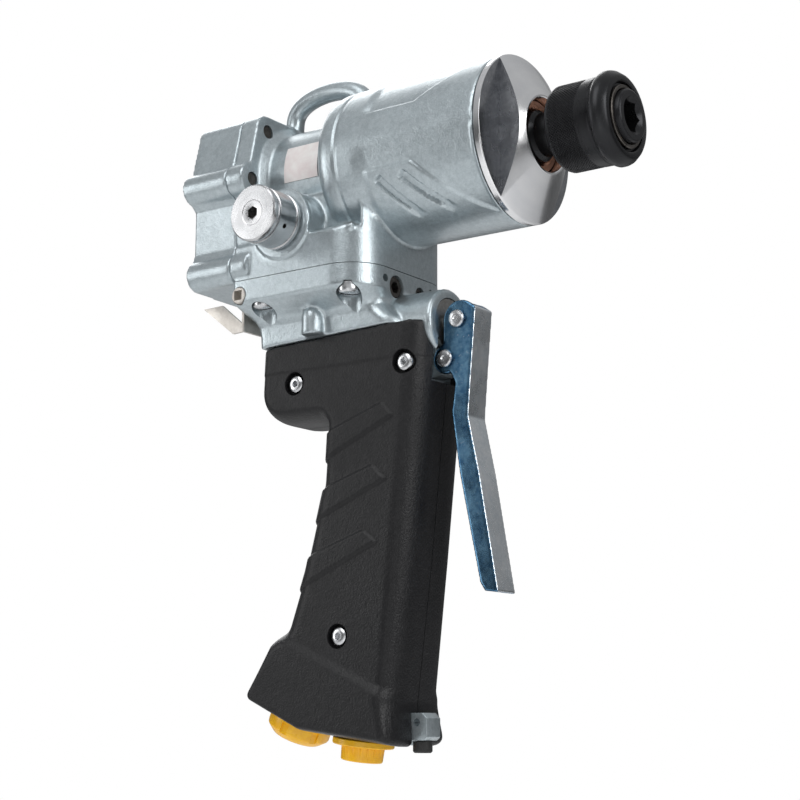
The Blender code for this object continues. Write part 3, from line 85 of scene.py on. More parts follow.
# Places that more than one sub-assembly uses, in millimetres. SIDES runs from right to left.
GAP = 0.3
ORIGIN: Triple = (0.0, 0.0, 0.0)
COVER_SCREWS: tuple[Pair, ...] = ((20.4, 20.2), (29.6, -2.4), (26.2, -38.8))
GRIP_SCREWS: tuple[Pair, ...] = ((46.5, -87.3), (99.6, -84.5), (69.4, -187.7))
LEVER_PIVOT: Pair = (111.4, -83.0)
VALVE_Z = -68.0


class Axis(Enum):
    """Direction that a prism is pushed along or a profile is spun about."""

    X = 0
    Y = 1
    Z = 2


class Slot(Enum):
    """Material slots of the record."""

    CAST = "cast_silver"
    BRIGHT = "bright_steel"
    OXIDE = "black_oxide"
    BRONZE = "bronze"
    PLASTIC = "black_plastic"
    ZINC = "blue_zinc"
    YELLOW = "yellow_plastic"
    GROUND = "ground_steel"
    FILM = "label_film"
    RUBBER = "rubber"


# --- Shader building --------------------------------------------------------


class Graph:
    """A node tree with short calls to add and link nodes."""

    def __init__(self, tree: bpy.types.NodeTree) -> None:
        """Holds the tree.

        Args:
            tree: The material's or group's node tree.
        """
        self.tree = tree

    def set(self, node: bpy.types.Node, key: str | int, value: object) -> None:
        """Links or sets one input.

        Args:
            node: The node that owns the input.
            key: The input's name or number.
            value: A socket to link, or a plain value.
        """
        socket = node.inputs[key]
        if isinstance(value, bpy.types.NodeSocket):
            self.tree.links.new(value, socket)
        else:
            socket.default_value = value

    def add(self, kind: str, inputs: dict | None = None, **settings: object) -> bpy.types.Node:
        """Adds a node.

        Args:
            kind: The node's type, without its ShaderNode prefix.
            inputs: Input name or number to a socket or value.
            **settings: Node properties.

        Returns:
            The new node.
        """
        prefix = "" if kind.startswith("NodeGroup") else "ShaderNode"
        node = self.tree.nodes.new(prefix + kind)
        for name, value in settings.items():
            setattr(node, name, value)
        for key, value in (inputs or {}).items():
            self.set(node, key, value)
        return node

    def math(self, operation: str, *values: object) -> bpy.types.NodeSocket:
        """One arithmetic step.

        Args:
            operation: The Math node's operation.
            *values: Its inputs in order.

        Returns:
            The result's socket.
        """
        return self.add("Math", dict(enumerate(values)), operation=operation).outputs[0]

    def spread(
        self, value: object, low: float, high: float, to_low: float, to_high: float
    ) -> bpy.types.NodeSocket:
        """A value mapped from one range to another, held at its ends.

        Args:
            value: The socket to map.
            low: Start of the range that comes in.
            high: End of the range that comes in.
            to_low: What the start becomes.
            to_high: What the end becomes.

        Returns:
            The mapped value's socket.
        """
        node = self.add("MapRange", {0: value, 1: low, 2: high, 3: to_low, 4: to_high}, clamp=True)
        return node.outputs[0]

    def blend(self, factor: object, first: object, second: object) -> bpy.types.NodeSocket:
        """Two colours mixed by a factor.

        Args:
            factor: 0 gives the first colour and 1 the second.
            first: Colour or socket.
            second: Colour or socket.

        Returns:
            The mixed colour's socket.
        """
        node = self.add("Mix", data_type="RGBA")
        self.set(node, 0, factor)
        self.set(node, 6, first)
        self.set(node, 7, second)
        return node.outputs[2]

    def noise(
        self, vector: object, scale: object, detail: float = 3.0, rough: float = 0.5
    ) -> bpy.types.NodeSocket:
        """Fractal noise.

        Args:
            vector: Where it is read.
            scale: Its scale.
            detail: How many finer layers it has.
            rough: How strong the finer layers are.

        Returns:
            The noise value's socket.
        """
        inputs = {"Vector": vector, "Scale": scale, "Detail": detail, "Roughness": rough}
        return self.add("TexNoise", inputs).outputs[0]

    def place(self, group: bpy.types.NodeTree, inputs: dict[str, object]) -> bpy.types.bpy_prop_collection:
        """Places a node group.

        Args:
            group: The shared group.
            inputs: Input name to a socket or value.

        Returns:
            The placed group's outputs.
        """
        return self.add("Group", inputs, node_tree=group).outputs


def make_group(
    name: str, inputs: dict[str, tuple[str, object]], outputs: Sequence[str]
) -> tuple[Graph, dict[str, bpy.types.NodeSocket]]:
    """An empty node group with its sockets.

    Args:
        name: The group's name.
        inputs: Input name to its kind, Float or Vector, and its default.
        outputs: Names of its value outputs.

    Returns:
        The group's graph, and its input sockets by name.
    """
    tree = bpy.data.node_groups.new(name, "ShaderNodeTree")
    for label, (kind, default) in inputs.items():
        socket = tree.interface.new_socket(label, in_out="INPUT", socket_type=f"NodeSocket{kind}")
        if default is not None:
            socket.default_value = default
    for label in outputs:
        tree.interface.new_socket(label, in_out="OUTPUT", socket_type="NodeSocketFloat")
    graph = Graph(tree)
    entry = graph.add("NodeGroupInput")
    return graph, {label: entry.outputs[label] for label in inputs}


def close_group(graph: Graph, values: dict[str, object]) -> bpy.types.NodeTree:
    """Links a group's results to its outputs.

    Args:
        graph: The group's graph.
        values: Output name to the socket that feeds it.

    Returns:
        The finished group.
    """
    exit_node = graph.add("NodeGroupOutput")
    for label, value in values.items():
        graph.set(exit_node, label, value)
    return graph.tree


class Effects:
    """Shader node groups that more than one finish uses."""

    def __init__(self) -> None:
        """Builds the groups once."""
        self.grain = self.build_grain()
        self.turning = self.build_turning()
        self.handling = self.build_handling()

    def build_grain(self) -> bpy.types.NodeTree:
        """Fine grain with larger lumps under it, as on a cast or moulded skin.

        Returns:
            The group, with a height and a mottle.
        """
        graph, ins = make_group(
            "skin_grain",
            {"Vector": ("Vector", None), "Size": ("Float", 900.0), "Lumps": ("Float", 0.4)},
            ("Height", "Mottle"),
        )
        fine = graph.noise(ins["Vector"], ins["Size"], 2.0, 0.6)
        lumps = graph.noise(ins["Vector"], graph.math("MULTIPLY", ins["Size"], 0.32), 2.0, 0.5)
        cells = graph.add("TexVoronoi", {"Vector": ins["Vector"], "Scale": ins["Size"]}).outputs[0]
        base = graph.math("ADD", fine, graph.math("MULTIPLY", cells, 0.35))
        height = graph.math("ADD", base, graph.math("MULTIPLY", lumps, ins["Lumps"]))
        mottle = graph.spread(graph.math("ADD", fine, lumps), 0.75, 1.25, 0.0, 1.0)
        return close_group(graph, {"Height": height, "Mottle": mottle})

    def build_turning(self) -> bpy.types.NodeTree:
        """Rings that a lathe tool leaves round the X axis of its vector.

        Returns:
            The group, with a height and a streak.
        """
        graph, ins = make_group(
            "turning_marks",
            {"Vector": ("Vector", None), "Pitch": ("Float", 0.0003), "Wander": ("Float", 1.0)},
            ("Height", "Streak"),
        )
        parts = graph.add("SeparateXYZ", {0: ins["Vector"]})
        squares = [graph.math("MULTIPLY", parts.outputs[i], parts.outputs[i]) for i in (1, 2)]
        radius = graph.math("SQRT", graph.math("ADD", *squares))
        run = graph.math("ADD", radius, graph.math("MULTIPLY", parts.outputs[0], 0.83))
        turns = graph.math("DIVIDE", run, ins["Pitch"])
        line = graph.add("CombineXYZ", {0: turns}).outputs[0]
        fine = graph.noise(line, 1.0, 4.0, 0.7)
        wide = graph.noise(line, 0.13, 2.0, 0.5)
        drift = graph.noise(ins["Vector"], 60.0, 2.0, 0.5)
        streak = graph.math("MULTIPLY", wide, graph.math("POWER", drift, ins["Wander"]))
        return close_group(graph, {"Height": fine, "Streak": streak})

    def build_handling(self) -> bpy.types.NodeTree:
        """Soft smudges and a few scuffs from use.

        Returns:
            The group, with a smudge and a scuff mask.
        """
        graph, ins = make_group(
            "handling",
            {"Vector": ("Vector", None), "Scale": ("Float", 45.0)},
            ("Smudge", "Scuff"),
        )
        smudge = graph.spread(graph.noise(ins["Vector"], ins["Scale"], 4.0, 0.6), 0.38, 0.66, 0.0, 1.0)
        fine = graph.noise(ins["Vector"], graph.math("MULTIPLY", ins["Scale"], 14.0), 3.0, 0.6)
        gate = graph.spread(smudge, 0.45, 0.8, 0.0, 1.0)
        scuff = graph.math("MULTIPLY", graph.spread(fine, 0.62, 0.74, 0.0, 1.0), gate)
        return close_group(graph, {"Smudge": smudge, "Scuff": scuff})


@dataclass(frozen=True)
class Finish:
    """A finish: its colours, how it shines, and how rough its skin is.

    Lengths are in metres. Turned finishes carry lathe rings round an axis through centre.
    """

    name: str
    colour: Colour
    shade: Colour
    metallic: float = 0.0
    roughness: Pair = (0.3, 0.45)
    grain: float = 900.0
    lumps: float = 0.4
    bump: float = 0.1
    bump_depth: float = 0.0002
    ring_pitch: float = 0.0
    ring_bump: float = 0.1
    centre: Triple = (0.0, 0.0, 0.0)
    turn: Triple = (0.0, 0.0, 0.0)
    coat: float = 0.0
    coat_roughness: float = 0.2
    specular: float = 0.5
    scuff: Colour | None = None
    smudge_scale: float = 45.0

    def build(self, effects: Effects) -> bpy.types.Material:
        """Makes the material.

        Args:
            effects: The shared node groups.

        Returns:
            The material.
        """
        material = bpy.data.materials.new(self.name)
        material.use_nodes = True
        material.diffuse_color = self.colour
        graph = Graph(material.node_tree)
        shader = material.node_tree.nodes["Principled BSDF"]
        where = graph.add("TexCoord").outputs["Object"]
        mapping = graph.add("Mapping", {"Vector": where}, vector_type="TEXTURE")
        mapping.inputs["Location"].default_value = self.centre
        mapping.inputs["Rotation"].default_value = self.turn
        local = mapping.outputs[0]
        grain = graph.place(effects.grain, {"Vector": local, "Size": self.grain, "Lumps": self.lumps})
        hand = graph.place(effects.handling, {"Vector": local, "Scale": self.smudge_scale})
        height, tone, strength = grain["Height"], grain["Mottle"], self.bump
        if self.ring_pitch:
            rings = graph.place(effects.turning, {"Vector": local, "Pitch": self.ring_pitch})
            tone = graph.spread(rings["Streak"], 0.1, 0.45, 0.0, 1.0)
            height = graph.math("ADD", graph.math("MULTIPLY", height, 0.15), rings["Height"])
            strength = self.ring_bump
        colour = graph.blend(tone, self.colour, self.shade)
        if self.scuff:
            colour = graph.blend(graph.math("MULTIPLY", hand["Scuff"], 0.5), colour, self.scuff)
        graph.set(shader, "Base Color", colour)
        graph.set(shader, "Roughness", graph.spread(hand["Smudge"], 0.0, 1.0, *self.roughness))
        graph.set(shader, "Metallic", self.metallic)
        graph.set(shader, "Coat Weight", self.coat)
        graph.set(shader, "Coat Roughness", self.coat_roughness)
        graph.set(shader, "Specular IOR Level", self.specular)
        bump = graph.add("Bump", {"Height": height, "Strength": strength, "Distance": self.bump_depth})
        graph.set(shader, "Normal", bump.outputs[0])
        return material


class Finishes:
    """Every finish of the tool, built once and found by name."""

    KNOB_CENTRE: Triple = (0.0498, 0.0, -0.0248)

    def __init__(self) -> None:
        """Builds the shared effects and the materials."""
        effects = Effects()
        quarter = math.pi / 2
        kinds = (
            Finish("cast_paint", (0.48, 0.54, 0.565, 1), (0.38, 0.435, 0.46, 1), 0.8, (0.28, 0.38), 1500.0,
                   0.8, 0.36, 0.0002, coat=0.25, coat_roughness=0.24),
            Finish("polished_nose", (0.90, 0.90, 0.90, 1), (0.74, 0.75, 0.77, 1), 1.0, (0.10, 0.22), 700.0,
                   ring_pitch=0.00045, ring_bump=0.10, bump_depth=0.00005),
            Finish("polished_flat", (0.42, 0.43, 0.45, 1), (0.30, 0.31, 0.33, 1), 1.0, (0.16, 0.30), 700.0,
                   bump=0.12, bump_depth=0.0001),
            Finish("turned_knob", (0.60, 0.60, 0.61, 1), (0.46, 0.47, 0.48, 1), 1.0, (0.18, 0.30), 700.0,
                   ring_pitch=0.0003, ring_bump=0.16, bump_depth=0.00006, centre=self.KNOB_CENTRE,
                   turn=(0.0, 0.0, quarter)),
            Finish("black_oxide_turned", (0.028, 0.029, 0.031, 1), (0.016, 0.016, 0.018, 1), 0.75,
                   (0.26, 0.40), 1500.0, ring_pitch=0.0005, ring_bump=0.12, bump_depth=0.00006,
                   scuff=(0.10, 0.10, 0.105, 1), smudge_scale=80.0),
            Finish("black_oxide_knurl", (0.030, 0.031, 0.033, 1), (0.014, 0.014, 0.016, 1), 0.75,
                   (0.34, 0.46), 2200.0, 0.5, 0.2, 0.0001, scuff=(0.16, 0.16, 0.165, 1), smudge_scale=120.0),
            Finish("bronze_bush", (0.46, 0.22, 0.13, 1), (0.30, 0.13, 0.08, 1), 0.95, (0.24, 0.42), 900.0,
                   ring_pitch=0.0004, ring_bump=0.15, bump_depth=0.00006),
            Finish("moulded_grip", (0.006, 0.006, 0.0068, 1), (0.010, 0.010, 0.011, 1), 0.0, (0.36, 0.48),
                   1300.0, 0.7, 0.7, 0.00022, specular=0.32, smudge_scale=30.0),
            Finish("zinc_blue", (0.045, 0.12, 0.22, 1), (0.13, 0.26, 0.38, 1), 1.0, (0.20, 0.36), 500.0, 1.2,
                   0.12, 0.00012, smudge_scale=60.0, scuff=(0.5, 0.56, 0.6, 1)),
            # Lit copy of the blue zinc: light grey, a painted highlight for the lever's faces that look towards the
            # light on the right.
            Finish("zinc_painted_highlight", (0.88, 0.91, 0.93, 1), (0.74, 0.80, 0.84, 1), 1.0, (0.22, 0.38), 600.0, 1.2,
                   0.14, 0.00012, smudge_scale=55.0),
            Finish("screw_steel", (0.70, 0.71, 0.72, 1), (0.50, 0.51, 0.53, 1), 1.0, (0.18, 0.34), 900.0, 0.6,
                   0.12, 0.0001, smudge_scale=150.0),
            Finish("ground_steel_dull", (0.46, 0.46, 0.45, 1), (0.34, 0.33, 0.31, 1), 1.0, (0.28, 0.44),
                   900.0, 0.8, 0.18, 0.0001, smudge_scale=90.0),
            Finish("tab_steel", (0.62, 0.59, 0.55, 1), (0.52, 0.49, 0.45, 1), 0.85, (0.34, 0.5), 700.0, 0.8,
                   0.15, 0.0001, smudge_scale=60.0),
            Finish("dark_steel", (0.06, 0.055, 0.05, 1), (0.12, 0.11, 0.10, 1), 0.9, (0.30, 0.50), 900.0, 0.8,
                   0.2, 0.0001, smudge_scale=150.0),
            Finish("yellow_cap", (1.0, 0.56, 0.006, 1), (0.92, 0.47, 0.004, 1), 0.0, (0.26, 0.40), 500.0, 0.9,
                   0.10, 0.0002, coat=0.15, smudge_scale=50.0),
            Finish("blank_film", (0.84, 0.82, 0.80, 1), (0.74, 0.66, 0.65, 1), 0.0, (0.28, 0.42), 240.0, 1.0,
                   0.06, 0.0001, smudge_scale=70.0),
            Finish("black_rubber", (0.014, 0.014, 0.014, 1), (0.024, 0.024, 0.024, 1), 0.0, (0.5, 0.68),
                   900.0, 0.8, 0.4, 0.00015, specular=0.35),
        )
        self.materials = {kind.name: kind.build(effects) for kind in kinds}

    def __getitem__(self, name: str) -> bpy.types.Material:
        """The material of that name."""
        return self.materials[name]


# --- Shapes, in millimetres -------------------------------------------------


def arc(centre: Pair, radius: float, start: float, end: float, steps: int) -> list[Pair]:
    """Points on an arc.

    Args:
        centre: The arc's centre.
        radius: Its radius.
        start: First angle in degrees.
        end: Last angle in degrees.
        steps: How many chords it has.

    Returns:
        The points in order.
    """
    turns = [math.radians(start + (end - start) * i / steps) for i in range(steps + 1)]
    return [(centre[0] + radius * math.cos(t), centre[1] + radius * math.sin(t)) for t in turns]


def rounded(corners: Sequence[Triple], steps: int = 8) -> list[Pair]:
    """An outline with its corners rounded.

    Args:
        corners: Each corner's two coordinates and radius.
        steps: Chords in each round.

    Returns:
        The outline's points.
    """
    points: list[Pair] = []
    count = len(corners)
    for i, (x, z, radius) in enumerate(corners):
        here = Vector((x, z))
        before = (Vector(corners[i - 1][:2]) - here).normalized()
        after = (Vector(corners[(i + 1) % count][:2]) - here).normalized()
        if radius <= 0.0:
            points.append((x, z))
            continue
        half = before.angle(after) / 2
        reach = radius / math.tan(half)
        middle = here + (before + after).normalized() * radius / math.sin(half)
        start = here + before * reach - middle
        turn = start.angle_signed(here + after * reach - middle)
        for k in range(steps + 1):
            point = middle + Matrix.Rotation(-turn * k / steps, 2) @ start
            points.append((point.x, point.y))
    return points


def inset(corners: Sequence[Triple], distance: float) -> list[Triple]:
    """An outline's corners moved inward.

    Args:
        corners: Each corner's two coordinates and radius, counter-clockwise.
        distance: How far they move.

    Returns:
        The moved corners with radii to match.
    """
    made: list[Triple] = []
    count = len(corners)
    for i, (x, z, radius) in enumerate(corners):
        here = Vector((x, z))
        back = (here - Vector(corners[i - 1][:2])).normalized()
        ahead = (Vector(corners[(i + 1) % count][:2]) - here).normalized()
        mean = (Vector((-back.y, back.x)) + Vector((-ahead.y, ahead.x))).normalized()
        reach = distance / max(mean.dot(Vector((-back.y, back.x))), 0.3)
        convex = back.x * ahead.y - back.y * ahead.x > 0.0
        fresh = max(radius - distance, 0.6) if convex else radius + distance
        made.append((x + mean.x * reach, z + mean.y * reach, fresh))
    return made


def hex_radius(across: float) -> float:
    """Radius of a hexagon's corners from its size across flats."""
    return across / 2 / math.cos(math.pi / 6)


def spot(axis: Axis, run: float, first: float, second: float) -> Vector:
    """A point given along an axis and across it."""
    return (Vector((run, first, second)), Vector((second, run, first)), Vector((first, second, run)))[axis.value]


class Blank:
    """A closed shape in millimetres that is joined, cut, cast and at last finished."""

    def __init__(self, mesh: bmesh.types.BMesh) -> None:
        """Takes a mesh and makes a working object of it.

        Args:
            mesh: The closed mesh, freed here.
        """
        for vert in mesh.verts:
            vert.co = [round(value, 4) for value in vert.co]
        bmesh.ops.remove_doubles(mesh, verts=mesh.verts, dist=1e-4)
        bmesh.ops.connect_verts_nonplanar(mesh, angle_limit=1e-4, faces=mesh.faces)
        bmesh.ops.recalc_face_normals(mesh, faces=mesh.faces)
        data = bpy.data.meshes.new("blank")
        mesh.to_mesh(data)
        mesh.free()
        self.obj = bpy.data.objects.new("blank", data)
        bpy.context.scene.collection.objects.link(self.obj)

    @classmethod
    def of(cls, obj: bpy.types.Object) -> "Blank":
        """A blank round an object that is already in millimetres.

        Args:
            obj: The object.

        Returns:
            The blank.
        """
        blank = cls.__new__(cls)
        blank.obj = obj
        return blank

    @classmethod
    def loft(cls, rings: Sequence[Sequence[Vector]]) -> "Blank":
        """A solid through rings of equal length with flat ends.

        Args:
            rings: The rings' points, in order along the solid.

        Returns:
            The lofted blank.
        """
        mesh = bmesh.new()
        made = [[mesh.verts.new(point) for point in ring] for ring in rings]
        count = len(rings[0])
        for low, high in zip(made, made[1:]):
            for i in range(count):
                mesh.faces.new((low[i], low[(i + 1) % count], high[(i + 1) % count], high[i]))
        mesh.faces.new(list(reversed(made[0])))
        mesh.faces.new(made[-1])
        return cls(mesh)

    @classmethod
    def prism(cls, outline: Sequence[Pair], axis: Axis, low: float, high: float) -> "Blank":
        """An outline pushed along an axis.

        Args:
            outline: Points as (y, z) along X, (x, z) along Y, or (x, y) along Z.
            axis: The axis.
            low: Where it starts.
            high: Where it ends.

        Returns:
            The pushed blank.
        """
        place: Callable[[Pair, float], Vector] = (
            lambda p, at: Vector((at, p[0], p[1])),
            lambda p, at: Vector((p[0], at, p[1])),
            lambda p, at: Vector((p[0], p[1], at)),
        )[axis.value]
        return cls.loft([[place(p, at) for p in outline] for at in (low, high)])

    @classmethod
    def box(cls, low: Triple, high: Triple) -> "Blank":
        """A box between two corners."""
        outline = ((low[0], low[1]), (high[0], low[1]), (high[0], high[1]), (low[0], high[1]))
        return cls.prism(outline, Axis.Z, low[2], high[2])

    @classmethod
    def lathe(
        cls,
        profile: Sequence[Pair],
        axis: Axis = Axis.X,
        centre: Triple = (0.0, 0.0, 0.0),
        steps: int = 96,
        phase: float = 0.0,
    ) -> "Blank":
        """A profile spun about an axis.

        Args:
            profile: Points along the axis and out from it. Radius 0 at both ends makes a bar.
            axis: The axis.
            centre: A point on it.
            steps: Facets round it.
            phase: Angle of the first facet's edge.

        Returns:
            The turned blank.
        """
        mesh = bmesh.new()
        shift = Vector(centre)
        rings = []
        for run, radius in profile:
            if radius == 0.0:
                rings.append([mesh.verts.new(spot(axis, run, 0.0, 0.0) + shift)])
                continue
            angles = [phase + math.tau * i / steps for i in range(steps)]
            rings.append([
                mesh.verts.new(spot(axis, run, radius * math.cos(a), radius * math.sin(a)) + shift)
                for a in angles
            ])
        pairs = list(zip(rings, rings[1:]))
        if profile[0][1] > 0.0:
            pairs.append((rings[-1], rings[0]))
        for low, high in pairs:
            for i in range(steps):
                j = (i + 1) % steps
                corners = [low[i % len(low)], low[j % len(low)], high[j % len(high)], high[i % len(high)]]
                mesh.faces.new(list(dict.fromkeys(corners)))
        return cls(mesh)

    @classmethod
    def rod(
        cls, axis: Axis, centre: Triple, radius: float, low: float, high: float, steps: int = 48
    ) -> "Blank":
        """A plain bar along an axis; six steps give a hexagon."""
        return cls.lathe(((low, 0.0), (low, radius), (high, radius), (high, 0.0)), axis, centre, steps)

    @classmethod
    def swept(cls, points: Sequence[Vector], radius: float, sides: int = 24) -> "Blank":
        """A round bar along points with flat ends.

        Args:
            points: Its centre line.
            radius: Its radius.
            sides: Facets round it.

        Returns:
            The bar.
        """
        rings = []
        normal = None
        for i, point in enumerate(points):
            heading = (points[min(i + 1, len(points) - 1)] - points[max(i - 1, 0)]).normalized()
            if normal is None:
                normal = heading.orthogonal().normalized()
            normal = (normal - heading * normal.dot(heading)).normalized()
            other = heading.cross(normal)
            turns = [math.tau * k / sides for k in range(sides)]
            rings.append([point + radius * (math.cos(t) * normal + math.sin(t) * other) for t in turns])
        return cls.loft(rings)

    def bake(self) -> "Blank":
        """Applies the modifiers that are on the blank.

        Returns:
            The blank.
        """
        graph = bpy.context.evaluated_depsgraph_get()
        data = bpy.data.meshes.new_from_object(self.obj.evaluated_get(graph))
        self.obj.modifiers.clear()
        self.obj.data = data
        return self

    def combine(self, operation: str, tools: Sequence["Blank"]) -> "Blank":
        """Joins or cuts other blanks, which are used up.

        Args:
            operation: UNION or DIFFERENCE.
            tools: The other blanks.

        Returns:
            The blank.
        """
        for tool in tools:
            step = self.obj.modifiers.new("step", "BOOLEAN")
            step.operation = operation
            step.solver = "EXACT"
            step.object = tool.obj
        self.bake()
        for tool in tools:
            bpy.data.objects.remove(tool.obj, do_unlink=True)
        return self

    def join(self, *tools: "Blank") -> "Blank":
        """The union with other blanks."""
        return self.combine("UNION", tools)

    def cut(self, *tools: "Blank") -> "Blank":
        """Other blanks cut out of this one."""
        return self.combine("DIFFERENCE", tools)

    def cast(self, voxel: float, passes: int) -> "Blank":
        """Remeshes the blank and softens its edges, as a casting's are.

        Args:
            voxel: Size of the cells.
            passes: Smoothing passes; the round grows with them.

        Returns:
            The blank.
        """
        remesh = self.obj.modifiers.new("remesh", "REMESH")
        remesh.mode = "VOXEL"
        remesh.voxel_size = voxel
        soften = self.obj.modifiers.new("soften", "SMOOTH")
        soften.factor = 0.5
        soften.iterations = passes
        return self.bake()

    def bevel(self, width: float, segments: int = 3, angle: float = 30.0) -> "Blank":
        """Rounds the sharp edges.

        Args:
            width: Width of the round.
            segments: Facets across it.
            angle: Edges sharper than this, in degrees, are rounded.

        Returns:
            The blank.
        """
        step = self.obj.modifiers.new("bevel", "BEVEL")
        step.width = width
        step.segments = segments
        step.limit_method = "ANGLE"
        step.angle_limit = math.radians(angle)
        step.harden_normals = False
        return self.bake()

    def shift(self, rule: Callable[[Vector, Vector], Vector]) -> "Blank":
        """Moves each point by a rule.

        Args:
            rule: Gives a point's new place from its place and normal.

        Returns:
            The blank.
        """
        data = self.obj.data
        normals = [v.normal.copy() for v in data.vertices]
        for vertex, normal in zip(data.vertices, normals):
            vertex.co = rule(vertex.co.copy(), normal)
        data.update()
        return self

    def place(self, matrix: Matrix) -> "Blank":
        """Moves the blank by a matrix."""
        self.obj.data.transform(matrix)
        return self

    def finish(
        self,
        name: str,
        body: str,
        slot: Slot,
        material: bpy.types.Material,
        replaces: Sequence[str] = (),
        sharp: float = 38.0,
        second: tuple[bpy.types.Material, Callable[[Vector, Vector], bool]] | None = None,
    ) -> bpy.types.Object:
        """Turns the blank into a finished piece in metres that rides on its body.

        Args:
            name: The piece's name.
            body: The CAD body that it moves with.
            slot: The record's slot that its finish comes from; not used.
            material: Its material.
            replaces: CAD nodes that it stands for.
            sharp: Edges sharper than this angle, in degrees, stay crisp.
            second: Another material, and a rule of a face's centre and normal, in millimetres, for where.

        Returns:
            The piece.
        """
        data = self.obj.data
        mesh = bmesh.new()
        mesh.from_mesh(data)
        bmesh.ops.remove_doubles(mesh, verts=mesh.verts, dist=5e-4)
        bmesh.ops.dissolve_degenerate(mesh, edges=mesh.edges, dist=1e-4)
        mesh.to_mesh(data)
        mesh.free()
        data.materials.clear()
        data.materials.append(material)
        if second:
            data.materials.append(second[0])
            for polygon in data.polygons:
                polygon.material_index = int(second[1](polygon.center, polygon.normal))
        data.transform(Matrix.Scale(MM, 4))
        data.shade_smooth()
        data.set_sharp_from_angle(angle=math.radians(sharp))
        self.obj.name = name
        data.name = name
        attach(self.obj, body)
        if replaces:
            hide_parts(*replaces)
        LOG.info("%s: %d faces on %s", name, len(data.polygons), body)
        return self.obj


def smooth_step(value: float, low: float, high: float) -> float:
    """0 below low, 1 above high, and an even curve between."""
    share = min(max((value - low) / (high - low), 0.0), 1.0)
    return share * share * (3.0 - 2.0 * share)


def scatter(
    name: str,
    unit: bpy.types.Object,
    points: Sequence[Vector],
    normals: Sequence[Vector],
    material: bpy.types.Material,
) -> bpy.types.Object:
    """Copies a small shape to points with Geometry Nodes, each turned to its normal.

    Args:
        name: Name of the result.
        unit: The small shape in millimetres, pointing along +Z; it is used up.
        points: Where the copies go, in millimetres.
        normals: Which way each one points.
        material: Material of the copies.

    Returns:
        One plain mesh object in millimetres.
    """
    data = bpy.data.meshes.new(name)
    data.from_pydata([tuple(p) for p in points], [], [])
    attribute = data.attributes.new("facing", "FLOAT_VECTOR", "POINT")
    for item, normal in zip(attribute.data, normals):
        item.vector = normal
    carrier = bpy.data.objects.new(name, data)
    bpy.context.scene.collection.objects.link(carrier)
    tree = bpy.data.node_groups.new(name + "_tree", "GeometryNodeTree")
    tree.interface.new_socket("Geometry", in_out="INPUT", socket_type="NodeSocketGeometry")
    size = tree.interface.new_socket("Size", in_out="INPUT", socket_type="NodeSocketFloat")
    tree.interface.new_socket("Geometry", in_out="OUTPUT", socket_type="NodeSocketGeometry")
    new = tree.nodes.new
    link = tree.links.new
    entry, leave = new("NodeGroupInput"), new("NodeGroupOutput")
    info = new("GeometryNodeObjectInfo")
    info.inputs["Object"].default_value = unit
    named = new("GeometryNodeInputNamedAttribute")
    named.data_type = "FLOAT_VECTOR"
    named.inputs["Name"].default_value = "facing"
    align = new("FunctionNodeAlignEulerToVector")
    align.axis = "Z"
    copies = new("GeometryNodeInstanceOnPoints")
    real = new("GeometryNodeRealizeInstances")
    dress = new("GeometryNodeSetMaterial")
    dress.inputs["Material"].default_value = material
    link(entry.outputs["Geometry"], copies.inputs["Points"])
    link(info.outputs["Geometry"], copies.inputs["Instance"])
    link(named.outputs["Attribute"], align.inputs["Vector"])
    link(align.outputs[0], copies.inputs["Rotation"])
    link(entry.outputs["Size"], copies.inputs["Scale"])
    link(copies.outputs[0], real.inputs[0])
    link(real.outputs[0], dress.inputs[0])
    link(dress.outputs[0], leave.inputs[0])
    modifier = carrier.modifiers.new("copies", "NODES")
    modifier.node_group = tree
    modifier[size.identifier] = 1.0
    graph = bpy.context.evaluated_depsgraph_get()
    plain = bpy.data.meshes.new_from_object(carrier.evaluated_get(graph))
    carrier.modifiers.clear()
    carrier.data = plain
    bpy.data.objects.remove(unit, do_unlink=True)
    return carrier


# --- Outlines that several pieces share -------------------------------------


def block_outline(shrink: float = 0.0) -> list[Pair]:
    """Outline of the rear block in Y and Z, with its screw bosses.

    Args:
        shrink: How far it is pulled in.

    Returns:
        The closed outline.
    """
    top, middle, low = (20.4, 20.2), (29.6, -2.4), (26.2, -38.8)
    radii = [radius - shrink for radius in (6.8, 6.9, 6.8)]
    waist = 28.4 - shrink
    half = [(0.0, 27.0 - shrink)]
    half += arc(top, radii[0], 90, 0, 10)
    half += arc(middle, radii[1], 80, -80, 16)
    half += [(waist, middle[1] - radii[1] - 2.0), (waist, low[1] + radii[2] + 2.6)]
    half += arc(low, radii[2], 62, -90, 14)
    half += [(0.0, -46.5 + shrink)]
    return half + [(-a, b) for a, b in reversed(half) if abs(a) > 1e-6]


def body_outline(rear: float, front: float, half: float, front_corner: float, rear_corner: float) -> list[Pair]:
    """Plan outline of the lower body with round corners.

    Args:
        rear: Its rear edge along X.
        front: Its front edge along X.
        half: Half its width.
        front_corner: Radius of the front corners.
        rear_corner: Radius of the rear corners.

    Returns:
        The closed outline.
    """
    near = arc((rear + rear_corner, -half + rear_corner), rear_corner, 180, 270, 5)
    near += arc((front - front_corner, -half + front_corner), front_corner, -90, 0, 18)
    return near + [(x, -y) for x, y in reversed(near)]


def grip_top(x: float) -> float:
    """Height of the joint between the handle casting and the grip."""
    return -71.2 + 0.038 * (x - 26.0)


